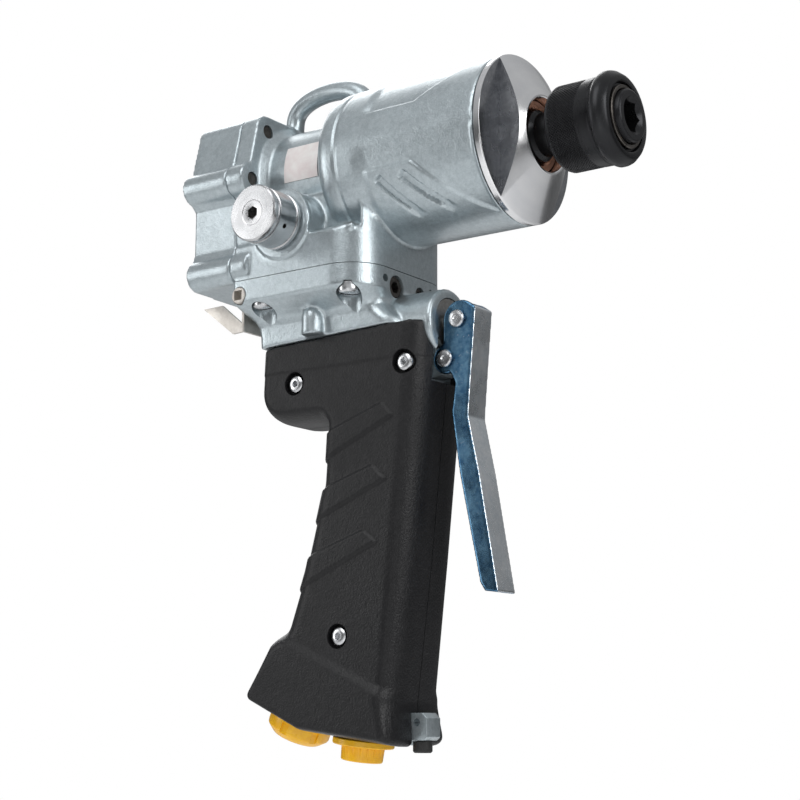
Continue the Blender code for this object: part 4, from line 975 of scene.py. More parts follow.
def grip_corners() -> list[Triple]:
    """Side outline of the grip.

    Returns:
        Its corners in X and Z with their radii.
    """
    return [
        (26.0, grip_top(26.0) - GAP, 2.0),
        (26.5, -104.0, 13.0),
        (60.6, -104.6, 3.0),
        (57.8, -128.0, 8.0),
        (49.1, -161.0, 8.0),
        (41.1, -183.6, 5.0),
        (34.4, -188.8, 5.0),
        (23.4, -210.9, 2.5),
        (51.0, -223.4, 6.0),
        (95.2, -229.2, 2.5),
        (94.2, -213.0, 8.0),
        (100.8, -159.0, 8.0),
        (107.4, -93.6, 6.0),
        (108.9, grip_top(108.9) - GAP, 2.0),
    ]


def port_frames() -> list[tuple[Vector, Vector]]:
    """Places of the hose ports along the grip's underside.

    Returns:
        Mouth centre and outward normal in X and Z, of the rear port and then the front one.
    """
    corners = [Vector(corner[:2]) for corner in grip_corners()[7:10]]
    frames = []
    for first, second, share in ((corners[0], corners[1], 0.56), (corners[1], corners[2], 0.41)):
        run = second - first
        frames.append((first + run * share, Vector((run.y, -run.x)).normalized()))
    return frames


def port_matrix(mouth: Vector, normal: Vector) -> Matrix:
    """Matrix that stands a shape built along +Z on a port.

    Args:
        mouth: The port's mouth centre in X and Z.
        normal: Its outward normal.

    Returns:
        The matrix.
    """
    turn = Vector((0, 0, 1)).rotation_difference(Vector((normal.x, 0.0, normal.y)))
    return Matrix.Translation(Vector((mouth.x, 0.0, mouth.y))) @ turn.to_matrix().to_4x4()


# --- Housing ----------------------------------------------------------------


@dataclass
class Housing:
    """Barrel, neck, flange, lower body, spool bosses and hanger, cast in one."""

    finishes: Finishes
    rear: float = 23.7
    flange_front: float = 32.4
    barrel_rear: float = 65.7
    barrel_front: float = 141.3
    barrel_radius: float = 33.0
    neck_radius: float = 23.0
    body_front: float = 89.5
    body_bottom: float = -45.0
    ledge: float = -30.5
    spool: Pair = (49.8, -24.8)
    spool_boss: Pair = (14.2, 32.4)
    body_screws: tuple[Pair, ...] = ((36.8, 25.0), (81.2, 24.0))
    hanger_radius: float = 3.95
    voxel: float = 0.66

    def build(self) -> None:
        """Makes the casting and the label on its neck."""
        self.casting()
        self.label()

    def panel_height(self, x: float, along: float) -> float:
        """How far the barrel's skin stands proud.

        Args:
            x: Distance along the drive axis.
            along: Distance round the skin, up from the side.

        Returns:
            Millimetres out from the plain barrel.
        """
        edge = -10.8 if x < 111.8 else -10.8 - (x - 111.8) * 1.02
        rise = smooth_step(edge - along, -0.5, 0.7) * smooth_step(x, 88.0, 92.0)
        height = -0.75 * (1.0 - rise) * smooth_step(x, 84.0, 92.0) * smooth_step(-along, -2.0, 6.0)
        upper = 13.6 if x < 113.0 else 13.6 + (x - 113.0) * 0.85
        height -= 0.8 * smooth_step(along - upper, -0.5, 0.7) * smooth_step(x, 88.0, 92.5)
        height -= 0.5 * math.exp(-(((x - 76.5) / 0.55) ** 2))
        for start_x, end_x in ((95.3, 108.6), (106.4, 123.4)):
            height -= 1.6 * self.flute(x, along, start_x, end_x)
        return height

    @staticmethod
    def flute(x: float, along: float, start_x: float, end_x: float) -> float:
        """Depth share of one slanted flute that fades at its lower end.

        Args:
            x: Distance along the drive axis.
            along: Distance round the skin, up from the side.
            start_x: Where the flute starts.
            end_x: Where it ends.

        Returns:
            0 outside the flute to 1 at its bottom.
        """
        start, end = Vector((start_x, -14.6)), Vector((end_x, -33.5))
        run = end - start
        here = Vector((x, along)) - start
        share = here.dot(run) / run.length_squared
        side = abs(here.cross(run)) / run.length
        inside = 1.0 - smooth_step(side, 1.5, 2.1)
        return inside * smooth_step(share, -0.02, 0.05) * (1.0 - smooth_step(share, 0.72, 1.06))

    def relief(self, place: Vector, normal: Vector) -> Vector:
        """Moves a point of the barrel's skin to its panels, edges and flutes.

        Args:
            place: The point.
            normal: Its normal, which the barrel doesn't need.

        Returns:
            The moved point.
        """
        radius = math.hypot(place.y, place.z)
        if place.x < 74.0 or place.x > 140.9 or abs(radius - self.barrel_radius) > 0.35:
            return place
        angle = math.atan2(place.z, abs(place.y))
        lift = self.panel_height(place.x, angle * self.barrel_radius)
        lift *= smooth_step(self.barrel_front - place.x, 0.4, 1.6)
        scale = (radius + lift) / radius
        return Vector((place.x, place.y * scale, place.z * scale))

    def hanger(self) -> Blank:
        """The bail over the neck.

        Returns:
            Its bar, with both ends inside the casting.
        """
        middle = (self.flange_front + self.barrel_rear) / 2
        spread = (self.barrel_rear - self.flange_front) / 2 + 2.2
        points = [Vector((self.flange_front - 4.6, 0.0, 21.0))]
        for i in range(33):
            turn = math.pi * (1.0 - i / 32)
            bulge = max(math.sin(turn), 0.0) ** 0.72
            points.append(Vector((middle + spread * math.cos(turn), 0.0, 28.0 + 12.0 * bulge)))
        points.append(Vector((self.barrel_rear + 6.0, 0.0, 24.0)))
        return Blank.swept(points, self.hanger_radius, 24)

    def outside(self) -> Blank:
        """The casting's outer form, before machining.

        Returns:
            The form with sharp edges.
        """
        shoulder = [(self.barrel_rear + 7.0 * (1 - math.cos(a)), self.barrel_radius - 5.5 + 5.5 * math.sin(a))
                    for a in (math.radians(15 * i) for i in range(7))]
        barrel = Blank.lathe(
            ((self.barrel_rear, 0.0), *shoulder, (self.barrel_front, self.barrel_radius), (self.barrel_front, 0.0)),
            steps=128,
        )
        neck = Blank.lathe(
            ((self.rear + 1.0, 0.0), (self.rear + 1.0, 26.4), (self.flange_front, 26.4),
             (self.flange_front + 3.2, self.neck_radius), (self.barrel_rear + 2.0, self.neck_radius),
             (self.barrel_rear + 2.0, 0.0)),
            steps=96,
        )
        flange = Blank.prism(block_outline(), Axis.X, self.rear, self.flange_front)
        outline = body_outline(self.rear, self.body_front, 31.2, 16.0, 2.5)
        lower = Blank.prism(outline, Axis.Z, self.body_bottom - 3.0, self.ledge)
        wall = Blank.prism(outline, Axis.Z, self.ledge - 1.0, -18.0)
        wall.cut(Blank.box((10.0, -50.0, -60.0), (self.body_front - 4.8, 50.0, 0.0)))
        saddle = Blank.prism(body_outline(self.rear, self.body_front - 1.2, 21.0, 16.0, 2.5), Axis.Z, -31.5, -12.0)
        radius, reach = self.spool_boss
        centre = (self.spool[0], 0.0, self.spool[1])
        bosses = Blank.lathe(
            ((-reach, 0.0), (-reach, radius), (-reach + 2.4, radius), (-reach + 2.9, radius - 0.5),
             (reach - 2.9, radius - 0.5), (reach - 2.4, radius), (reach, radius), (reach, 0.0)),
            Axis.Y, centre, 72,
        )
        rib = Blank.box((48.0, -29.6, -31.5), (self.body_front - 6.0, 29.6, self.ledge + 0.9))
        rib.cut(Blank.box((40.0, -27.4, -33.0), (95.0, 27.4, -20.0)))
        return barrel.join(neck, flange, lower, wall, saddle, bosses, rib, self.hanger())

    def casting(self) -> None:
        """The finished casting with its bores."""
        blank = self.outside().cast(self.voxel, 5).shift(self.relief)
        low = self.body_bottom
        tools = [
            Blank.box((self.rear - 5.0, -50.0, low - 12.0), (self.body_front + 9.0, 50.0, low)),
            Blank.box((self.rear - 9.0, -50.0, -60.0), (self.rear, 50.0, 50.0)),
            Blank.box((self.barrel_front, -50.0, -50.0), (self.barrel_front + 9.0, 50.0, 50.0)),
            Blank.rod(Axis.X, ORIGIN, 28.6, 76.5, self.barrel_front + 9.0, 64),
            Blank.rod(Axis.X, ORIGIN, 13.0, 67.9, 77.4, 32),
            Blank.rod(Axis.X, ORIGIN, 7.0, self.rear - 9.0, 77.4, 32),
            Blank.rod(Axis.X, ORIGIN, 10.9, self.rear - 9.0, 42.6, 40),
            Blank.rod(Axis.X, (0, 0, -24.0), 5.3, self.rear - 9.0, 30.6, 24),
            Blank.rod(Axis.Y, (self.spool[0], 0, self.spool[1]), 8.0, -50.0, 50.0, 48),
        ]
        for y, z in COVER_SCREWS:
            for side in SIDES:
                tools.append(Blank.rod(Axis.X, (0, side * y, z), 2.9, self.rear - 9.0, self.flange_front + 9.0, 28))
        for x, y in self.body_screws:
            for side in SIDES:
                tools.append(Blank.rod(Axis.Z, (x, side * y, 0), 2.9, low - 12.0, -35.0, 20))
        blank.cut(*tools)
        blank.finish("cast_housing", "housing", Slot.CAST, self.finishes["cast_paint"], ("main_housing",))

    def label(self) -> None:
        """The blank film on the neck, with a thin lifted edge."""
        inner, outer = self.neck_radius + 0.25, self.neck_radius + 0.5
        rings = []
        for at in (43.8, 44.1, 60.6, 60.9):
            trim = 0.15 if at in (43.8, 60.9) else 0.0
            spots = arc((0, 0), outer - trim, 154, 192, 28) + arc((0, 0), inner, 192, 154, 28)
            rings.append([Vector((at, y, z)) for y, z in spots])
        Blank.loft(rings).finish(
            "neck_film", "housing", Slot.FILM, self.finishes["blank_film"], ("neck_label",), 50.0
        )


@dataclass
class RearCover:
    """Cover of the gear motor, with its recessed screws."""

    finishes: Finishes
    length: float = 23.4

    def build(self) -> None:
        """Makes the cover."""
        blank = Blank.prism(block_outline(0.35), Axis.X, 0.0, self.length).cast(0.6, 5)
        tools = [Blank.box((-9.0, -50.0, -60.0), (0.0, 50.0, 50.0))]
        for z, bore in ((0.0, 8.95), (-24.0, 7.95)):
            tools.append(Blank.rod(Axis.X, (0, 0, z), 13.9, 8.4, self.length + 9.0, 64))
            tools.append(Blank.rod(Axis.X, (0, 0, z), bore, 3.6, 9.4, 40))
        for y, z in COVER_SCREWS:
            for side in SIDES:
                place = (0, side * y, z)
                tools.append(Blank.rod(Axis.X, place, 2.8, -9.0, self.length + 9.0, 24))
                tools.append(Blank.rod(Axis.X, place, 4.35, -9.0, 5.9, 36))
        blank.cut(*tools)
        blank.finish("motor_cover", "housing", Slot.CAST, self.finishes["cast_paint"], ("rear_cover",))


@dataclass
class Nose:
    """Polished nose cap with its wrench flats, and the bush in it."""

    finishes: Finishes
    rear: float = 141.6
    band: float = 144.3
    front: float = 154.1
    flat: float = 17.8

    def build(self) -> None:
        """Makes the cap and the bush."""
        shape = Blank.lathe(
            (
                (132.3, 24.0), (132.3, 28.0), (132.6, 28.3), (self.rear, 28.3), (self.rear, 32.6),
                (self.rear + 0.4, 33.0), (self.band - 0.5, 33.0), (self.band - 0.1, 32.75), (self.band + 0.3, 32.3),
                (self.front - 0.3, 15.9), (self.front, 15.4), (self.front, 14.8), (self.front - 0.3, 14.5),
                (139.2, 14.5), (139.2, 11.0), (137.0, 11.0), (137.0, 24.0),
            ),
            steps=160,
        )
        for side in SIDES:
            near, far = sorted((side * self.flat, side * 45.0))
            shape.cut(Blank.box((self.band, near, -45.0), (self.front + 9.0, far, 45.0)))

        def on_flat(centre: Vector, normal: Vector) -> bool:
            """Whether a face belongs to a milled flat.

            Args:
                centre: The face's centre.
                normal: Its normal.

            Returns:
                True on a flat or on the step behind it.
            """
            side_face = abs(normal.y) > 0.999 and abs(abs(centre.y) - self.flat) < 0.05
            step_face = normal.x > 0.999 and abs(centre.x - self.band) < 0.05
            return side_face or step_face

        shape.finish("nose_cone", "housing", Slot.BRIGHT, self.finishes["polished_nose"], ("nose_cap",), 22.0,
                     (self.finishes["polished_flat"], on_flat))
        bush = Blank.lathe(
            ((139.5, 10.15), (139.5, 14.2), (149.7, 14.2), (150.2, 13.7), (150.2, 11.4), (149.0, 10.15)), steps=96
        )
        bush.finish("bronze_nose_bush", "housing", Slot.BRONZE, self.finishes["bronze_bush"], ("nose_bush",), 22.0)


@dataclass
class Chuck:
    """Quick-change chuck: anvil nose, knurled sleeve, washer and ring."""

    finishes: Finishes
    rear: float = 161.4
    front: float = 188.3
    radius: float = 16.65
    flange: float = 18.0
    nose: float = 190.8
    hexagon: float = 11.2
    knurl_pitch: float = 1.15

    def build(self) -> None:
        """Makes the pieces of the chuck."""
        self.anvil()
        self.sleeve()
        self.knurl()
        self.rings()

    def anvil(self) -> None:
        """The output shaft with its jaws and its hex socket."""
        r, n = self.rear, self.nose
        shape = Blank.lathe(
            (
                (82.4, 0.0), (82.4, 8.6), (82.8, 9.0), (130.9, 9.0), (130.9, 12.9), (136.1, 12.9), (136.1, 9.9),
                (151.7, 9.9), (153.1, 8.5), (r + 0.4, 8.5), (r + 0.4, 13.5), (r + 0.7, 13.8), (r + 1.9, 13.8),
                (r + 2.2, 13.5), (r + 2.2, 10.1), (n - 0.9, 10.1), (n - 0.5, 9.95), (n - 0.2, 9.7), (n, 9.3), (n, 0.0),
            ),
            steps=96,
        )
        shape.join(Blank.box((83.4, -4.5, -13.5), (123.0, 4.5, 13.5)))
        lead = Blank.lathe(((n - 1.7, 0.0), (n - 1.7, 5.5), (n - 0.3, 6.9), (n + 0.2, 7.5), (n + 0.2, 0.0)), steps=64)
        socket = Blank.rod(Axis.X, ORIGIN, hex_radius(self.hexagon), n - 26.0, n + 2.0, 6)
        drill = Blank.lathe(((n - 29.4, 0.0), (n - 25.9, 5.6), (n - 25.3, 5.6), (n - 25.3, 0.0)), steps=32)
        ball = Blank.rod(Axis.Z, (r + 17.0, 0, 0), 2.6, 0.0, 12.0, 24)
        shape.cut(socket, drill, lead, ball)
        shape.finish("anvil_shaft", "anvil", Slot.OXIDE, self.finishes["black_oxide_turned"], ("anvil",), 25.0)

    def sleeve(self) -> None:
        """The sliding sleeve, turned with soft edges."""
        r, f = self.radius - 0.35, self.flange
        profile = (
            (0.0, 14.2), (0.0, 14.6), (0.3, 15.2), (1.0, 16.0), (2.0, r), (14.6, r), (14.9, self.radius),
            (18.6, self.radius + 0.05), (19.0, 16.5), (19.5, 16.5), (19.9, 16.8), (21.1, f - 0.15), (21.5, f),
            (22.8, f), (23.4, f - 0.12), (24.3, 17.6), (26.2, 16.2), (26.7, 15.6), (26.9, 15.0), (26.9, 13.7),
            (26.6, 13.2), (23.6, 13.2), (23.6, 10.5), (21.7, 10.5), (21.3, 12.2), (19.5, 12.2), (19.1, 10.5),
            (13.1, 10.5), (13.1, 14.2),
        )
        shape = Blank.lathe([(self.rear + run, out) for run, out in profile], steps=160)
        shape.finish("sliding_sleeve", "sleeve", Slot.OXIDE, self.finishes["black_oxide_turned"],
                     ("chuck_sleeve",), 24.0)

    def knurl(self) -> None:
        """The diagonal knurl band, one small point per diamond."""
        base = self.radius - 0.42
        count = int(math.tau * base / self.knurl_pitch)
        rows = int(12.0 / (self.knurl_pitch * 0.5))
        points, normals = [], []
        for row in range(rows):
            x = self.rear + 2.4 + row * self.knurl_pitch * 0.5
            for i in range(count):
                angle = math.tau * (i + 0.5 * (row % 2)) / count
                normal = Vector((0.0, math.cos(angle), math.sin(angle)))
                points.append(Vector((x, 0.0, 0.0)) + normal * base)
                normals.append(normal)
        half = self.knurl_pitch * 0.47
        mesh = bmesh.new()
        low = [mesh.verts.new((half * math.cos(a), half * math.sin(a), 0.0))
               for a in (math.tau * k / 4 for k in range(4))]
        high = [mesh.verts.new((v.co.x * 0.3, v.co.y * 0.3, 0.40)) for v in low]
        for i in range(4):
            j = (i + 1) % 4
            mesh.faces.new((low[i], low[j], high[j], high[i]))
        mesh.faces.new(high)
        mesh.faces.new(list(reversed(low)))
        finish = self.finishes["black_oxide_knurl"]
        band = Blank.of(scatter("knurl_band", Blank(mesh).obj, points, normals, finish))
        band.finish("knurl_band", "sleeve", Slot.OXIDE, finish, (), 20.0)

    def rings(self) -> None:
        """The washer and the split ring."""
        finish = self.finishes["black_oxide_turned"]
        seat = self.front - 2.9
        washer = Blank.lathe(
            [(seat + run, out) for run, out in
             ((0.0, 10.4), (0.0, 12.9), (1.3, 12.9), (1.5, 12.7), (1.5, 10.6), (1.3, 10.4))], steps=96
        )
        washer.finish("sleeve_washer", "anvil", Slot.OXIDE, finish, ("chuck_washer",), 25.0)
        ring = Blank.lathe(
            [(seat + run, out) for run, out in
             ((1.8, 10.4), (1.8, 11.8), (2.1, 12.0), (2.8, 12.0), (3.1, 11.7), (3.1, 10.7), (2.8, 10.4))], steps=96
        )
        ring.cut(Blank.box((seat + 1.1, 8.0, -1.1), (seat + 4.1, 14.0, 1.1)))
        ring.finish("split_ring", "anvil", Slot.OXIDE, self.finishes["dark_steel"], ("chuck_retaining_ring",), 25.0)


@dataclass
class Reverser:
    """Cross spool with a turned knob on each end."""

    finishes: Finishes
    centre: Triple = (49.8, 0.0, -24.8)
    radius: float = 11.4
    length: float = 16.8
    near: float = -32.7
    far: float = 38.7
    hexagon: float = 4.6

    def build(self) -> None:
        """Makes both knobs; the spool keeps its CAD shape."""
        for name, base, side in (("right", self.near, -1), ("left", self.far, 1)):
            self.knob(name, base, side)

    def knob(self, name: str, base: float, side: int) -> None:
        """One knob.

        Args:
            name: Its side's name.
            base: Where its inner face is along Y.
            side: -1 points right and 1 points left.
        """
        r, face = self.radius, base + side * self.length
        steps = (
            (0.0, 0.0), (0.0, r - 0.9), (0.5, r - 0.2), (1.0, r), (2.3, r), (2.6, r - 0.55), (3.3, r - 0.55),
            (3.6, r), (12.6, r), (12.9, r - 0.7), (13.9, r - 0.7), (14.2, r), (15.9, r), (16.4, r - 0.2),
            (16.8, r - 0.7), (16.8, 5.2), (16.65, 4.9), (16.65, 3.3), (16.3, 0.0),
        )
        shape = Blank.lathe([(base + side * run, out) for run, out in steps], Axis.Y, self.centre, 120)
        bore = sorted((base - side, base + side * 7.3))
        hexagon = sorted((face + side, face - side * 5.0))
        cross = base + side * 9.0
        hole = Blank.rod(Axis.Z, (self.centre[0], cross, 0.0), 1.0, self.centre[2] - 15.0, self.centre[2] - 7.0, 20)
        turned = Matrix.Translation(Vector(self.centre)) @ Matrix.Rotation(math.radians(-62), 4, "Y")
        hole.place(turned @ Matrix.Translation(-Vector(self.centre)))
        shape.cut(
            Blank.rod(Axis.Y, self.centre, 5.3, bore[0], bore[1], 32),
            Blank.rod(Axis.Y, self.centre, hex_radius(self.hexagon), hexagon[0], hexagon[1], 6),
            hole,
        )

        def in_shaded_hollow(centre: Vector, normal: Vector) -> bool:
            """Whether a face is inside the hex socket or the cross hole, which are painted dark as shade.

            Args:
                centre: The face's centre.
                normal: Its normal, which isn't needed.

            Returns:
                True inside either one.
            """
            out = math.hypot(centre.x - self.centre[0], centre.z - self.centre[2])
            return (out < 2.75 and abs(centre.y) < abs(face) - 0.75) or (out < r - 0.9 and abs(centre.y - cross) < 1.1)

        # Faces inside the hex socket and the cross hole take dark steel as painted shade in the recesses.
        shape.finish(f"turned_knob_{name}", "reverser", Slot.BRIGHT, self.finishes["turned_knob"],
                     (f"reversing_knob_{name}",), 26.0, (self.finishes["dark_steel"], in_shaded_hollow))


# --- Handle -----------------------------------------------------------------


@dataclass
class HandleCasting:
    """Casting under the housing: flange, valve boss, ear, grip core and foot."""

    finishes: Finishes
    top: float = -45.3
    body_screws: tuple[Pair, ...] = ((36.2, 25.1), (79.0, 24.9))

    def outside(self) -> Blank:
        """The outer form, before machining.

        Returns:
            The form with sharp edges.
        """
        rings = []
        for z, rear, front, half, corner, back in (
            (self.top + 2.0, 23.7, 89.5, 31.3, 16.0, 2.5), (-53.7, 23.7, 89.5, 31.3, 16.0, 2.5),
            (-54.5, 24.0, 89.3, 30.6, 16.0, 2.5), (-57.8, 25.4, 89.0, 24.6, 12.0, 2.5),
            (-60.0, 26.8, 89.6, 21.0, 9.0, 2.5), (-62.5, 28.0, 92.0, 19.8, 8.0, 2.5),
            (-66.0, 28.5, 96.0, 19.3, 8.0, 2.5),
        ):
            rings.append([Vector((x, y, z)) for x, y in body_outline(rear, front, half, corner, back)])
        narrow = body_outline(28.6, 97.0, 19.0, 8.0, 2.5)
        rings.append([Vector((x, y, grip_top(x))) for x, y in narrow])
        shape = Blank.loft(rings)
        boss = Blank.lathe(
            ((80.0, 0.0), (80.0, 14.0), (108.7, 14.0), (109.5, 13.2), (109.5, 0.0)),
            Axis.X, (0, 0, VALVE_Z), 64,
        )
        tools = [boss]
        for side in SIDES:
            tools.append(Blank.lathe(
                ((-69.6, 0.0), (-69.6, 4.7), (-62.0, 4.7), (-59.9, 4.1), (-58.5, 2.8), (-57.9, 1.2), (-57.8, 0.0)),
                Axis.Z, (58.0, side * 20.8, 0), 36,
            ))
        return shape.join(*tools)

    def build(self) -> None:
        """Makes the casting, its plugs and the core inside the grip."""
        blank = self.outside().cast(0.6, 5)
        core = inset(grip_corners(), 4.6)
        for i in (0, -1):
            x, z, radius = core[i]
            core[i] = (x, z + 9.0, radius)
        ear = [(98.0, -90.0), (98.0, -72.0), (108.0, -72.0)]
        ear += list(reversed(arc(LEVER_PIVOT, 5.2, -90, 60, 24)))
        foot = rounded(((84.4, -216.2, 0.0), (84.4, -227.4, 0.0), (91.5, -228.3, 0.3), (92.3, -226.4, 0.3),
                        (100.2, -226.4, 0.5), (101.6, -225.2, 0.5), (101.6, -218.2, 0.4), (99.6, -216.2, 0.4)), 3)
        blank.join(
            Blank.prism(rounded(core), Axis.Y, -12.2, 12.2),
            Blank.prism(ear, Axis.Y, -3.7, 3.7).bevel(0.4, 2, 40),
            Blank.prism(foot, Axis.Y, -4.5, 4.5).bevel(0.35, 2, 40),
        )
        px, pz = LEVER_PIVOT
        tools = [
            Blank.box((10.0, -50.0, self.top), (110.0, 50.0, self.top + 9.0)),
            Blank.rod(Axis.X, (0, 0, VALVE_Z), 6.3, 40.0, 109.5, 32),
            Blank.rod(Axis.X, (0, 0, VALVE_Z), 10.4, 88.0, 115.0, 48),
            Blank.rod(Axis.Y, (px, 0, pz), 2.6, -12.0, 12.0, 24),
            Blank.rod(Axis.Z, (96.6, 0, 0), 2.3, -230.0, -221.5, 24),
            Blank.rod(Axis.Y, (97.0, 0, -219.8), 1.5, -9.0, 9.0, 24),
            Blank.rod(Axis.Y, (27.9, 0, -51.2), 3.7, -40.0, -25.0, 32),
        ]
        for mouth, normal in port_frames():
            tools.append(Blank.rod(Axis.Z, ORIGIN, 8.5, -18.0, 9.0, 40).place(port_matrix(mouth, normal)))
        for x, z in GRIP_SCREWS:
            tools.append(Blank.rod(Axis.Y, (x, 0, z), 2.3, -20.0, 20.0, 16))
        for x, y in self.body_screws:
            for side in SIDES:
                tools.append(Blank.rod(Axis.Z, (x, side * y, 0), 2.8, -66.0, self.top + 9.0, 20))
                tools.append(Blank.rod(Axis.Z, (x, side * y, 0), 5.1, -75.0, -52.2, 48))
        for side in SIDES:
            tools.append(Blank.rod(Axis.X, (0, side * 8.0, -51.9), 4.7 if side < 0 else 3.2, 82.5, 99.0, 40))
            tools.append(Blank.rod(Axis.X, (0, side * 15.4, -49.6), 1.6, 84.0, 99.0, 20))
            near, far = sorted((side * 3.8, side * 8.6))
            tools.append(Blank.box((104.6, near, -95.0), (115.0, far, -74.5)))
        blank.cut(*tools)
        blank.finish("cast_handle", "housing", Slot.CAST, self.finishes["cast_paint"], ("handle_casting",))
        self.plugs()

    def plugs(self) -> None:
        """Gallery plugs and the plug with a square socket."""
        for name, y, outer, across in (("right", -8.0, 4.4, 4.4), ("left", 8.0, 2.9, 3.0)):
            profile = ((82.8, 0.0), (82.8, outer), (88.2, outer), (88.6, outer - 0.4), (88.6, 0.0))
            shape = Blank.lathe(profile, Axis.X, (0, y, -51.9), 48)
            shape.cut(Blank.rod(Axis.X, (0, y, -51.9), hex_radius(across), 85.3, 95.0, 6))
            shape.finish(f"gallery_screw_{name}", "housing", Slot.GROUND, self.finishes["dark_steel"],
                         (f"gallery_plug_{name}",), 26.0)
        shape = Blank.lathe(
            ((-31.9, 0.0), (-31.9, 3.0), (-31.5, 3.4), (-25.3, 3.4), (-25.3, 0.0)), Axis.Y, (27.9, 0, -51.2), 40
        )
        shape.cut(Blank.box((25.9, -35.0, -53.2), (29.9, -28.6, -49.2)))
        shape.finish("square_socket_plug", "housing", Slot.GROUND, self.finishes["tab_steel"],
                     ("square_plug",), 26.0)
        self.clamp_screws()

    def clamp_screws(self) -> None:
        """The slotted screws that hold the handle casting to the housing."""
        shapes = []
        for i, (x, y) in enumerate(self.body_screws):
            for side in SIDES:
                shape = Blank.lathe(
                    ((-56.9, 0.0), (-56.8, 2.4), (-56.5, 3.7), (-55.9, 4.4), (-55.2, 4.6), (-52.6, 4.6),
                     (-52.6, 2.4), (-37.0, 2.4), (-37.0, 0.0)),
                    Axis.Z, (x, side * y, 0), 40,
                )
                slot = Blank.box((-6.0, -0.75, -60.0), (6.0, 0.75, -54.6))
                turn = Matrix.Translation((x, side * y, 0)) @ Matrix.Rotation(math.radians(8 + 40 * i), 4, "Z")
                shapes.append(shape.cut(slot.place(turn)))
        first = shapes[0].join(*shapes[1:])
        first.finish("slotted_clamp_screws", "housing", Slot.BRIGHT, self.finishes["screw_steel"],
                     ("body_screw_1", "body_screw_2", "body_screw_3", "body_screw_4"), 26.0)


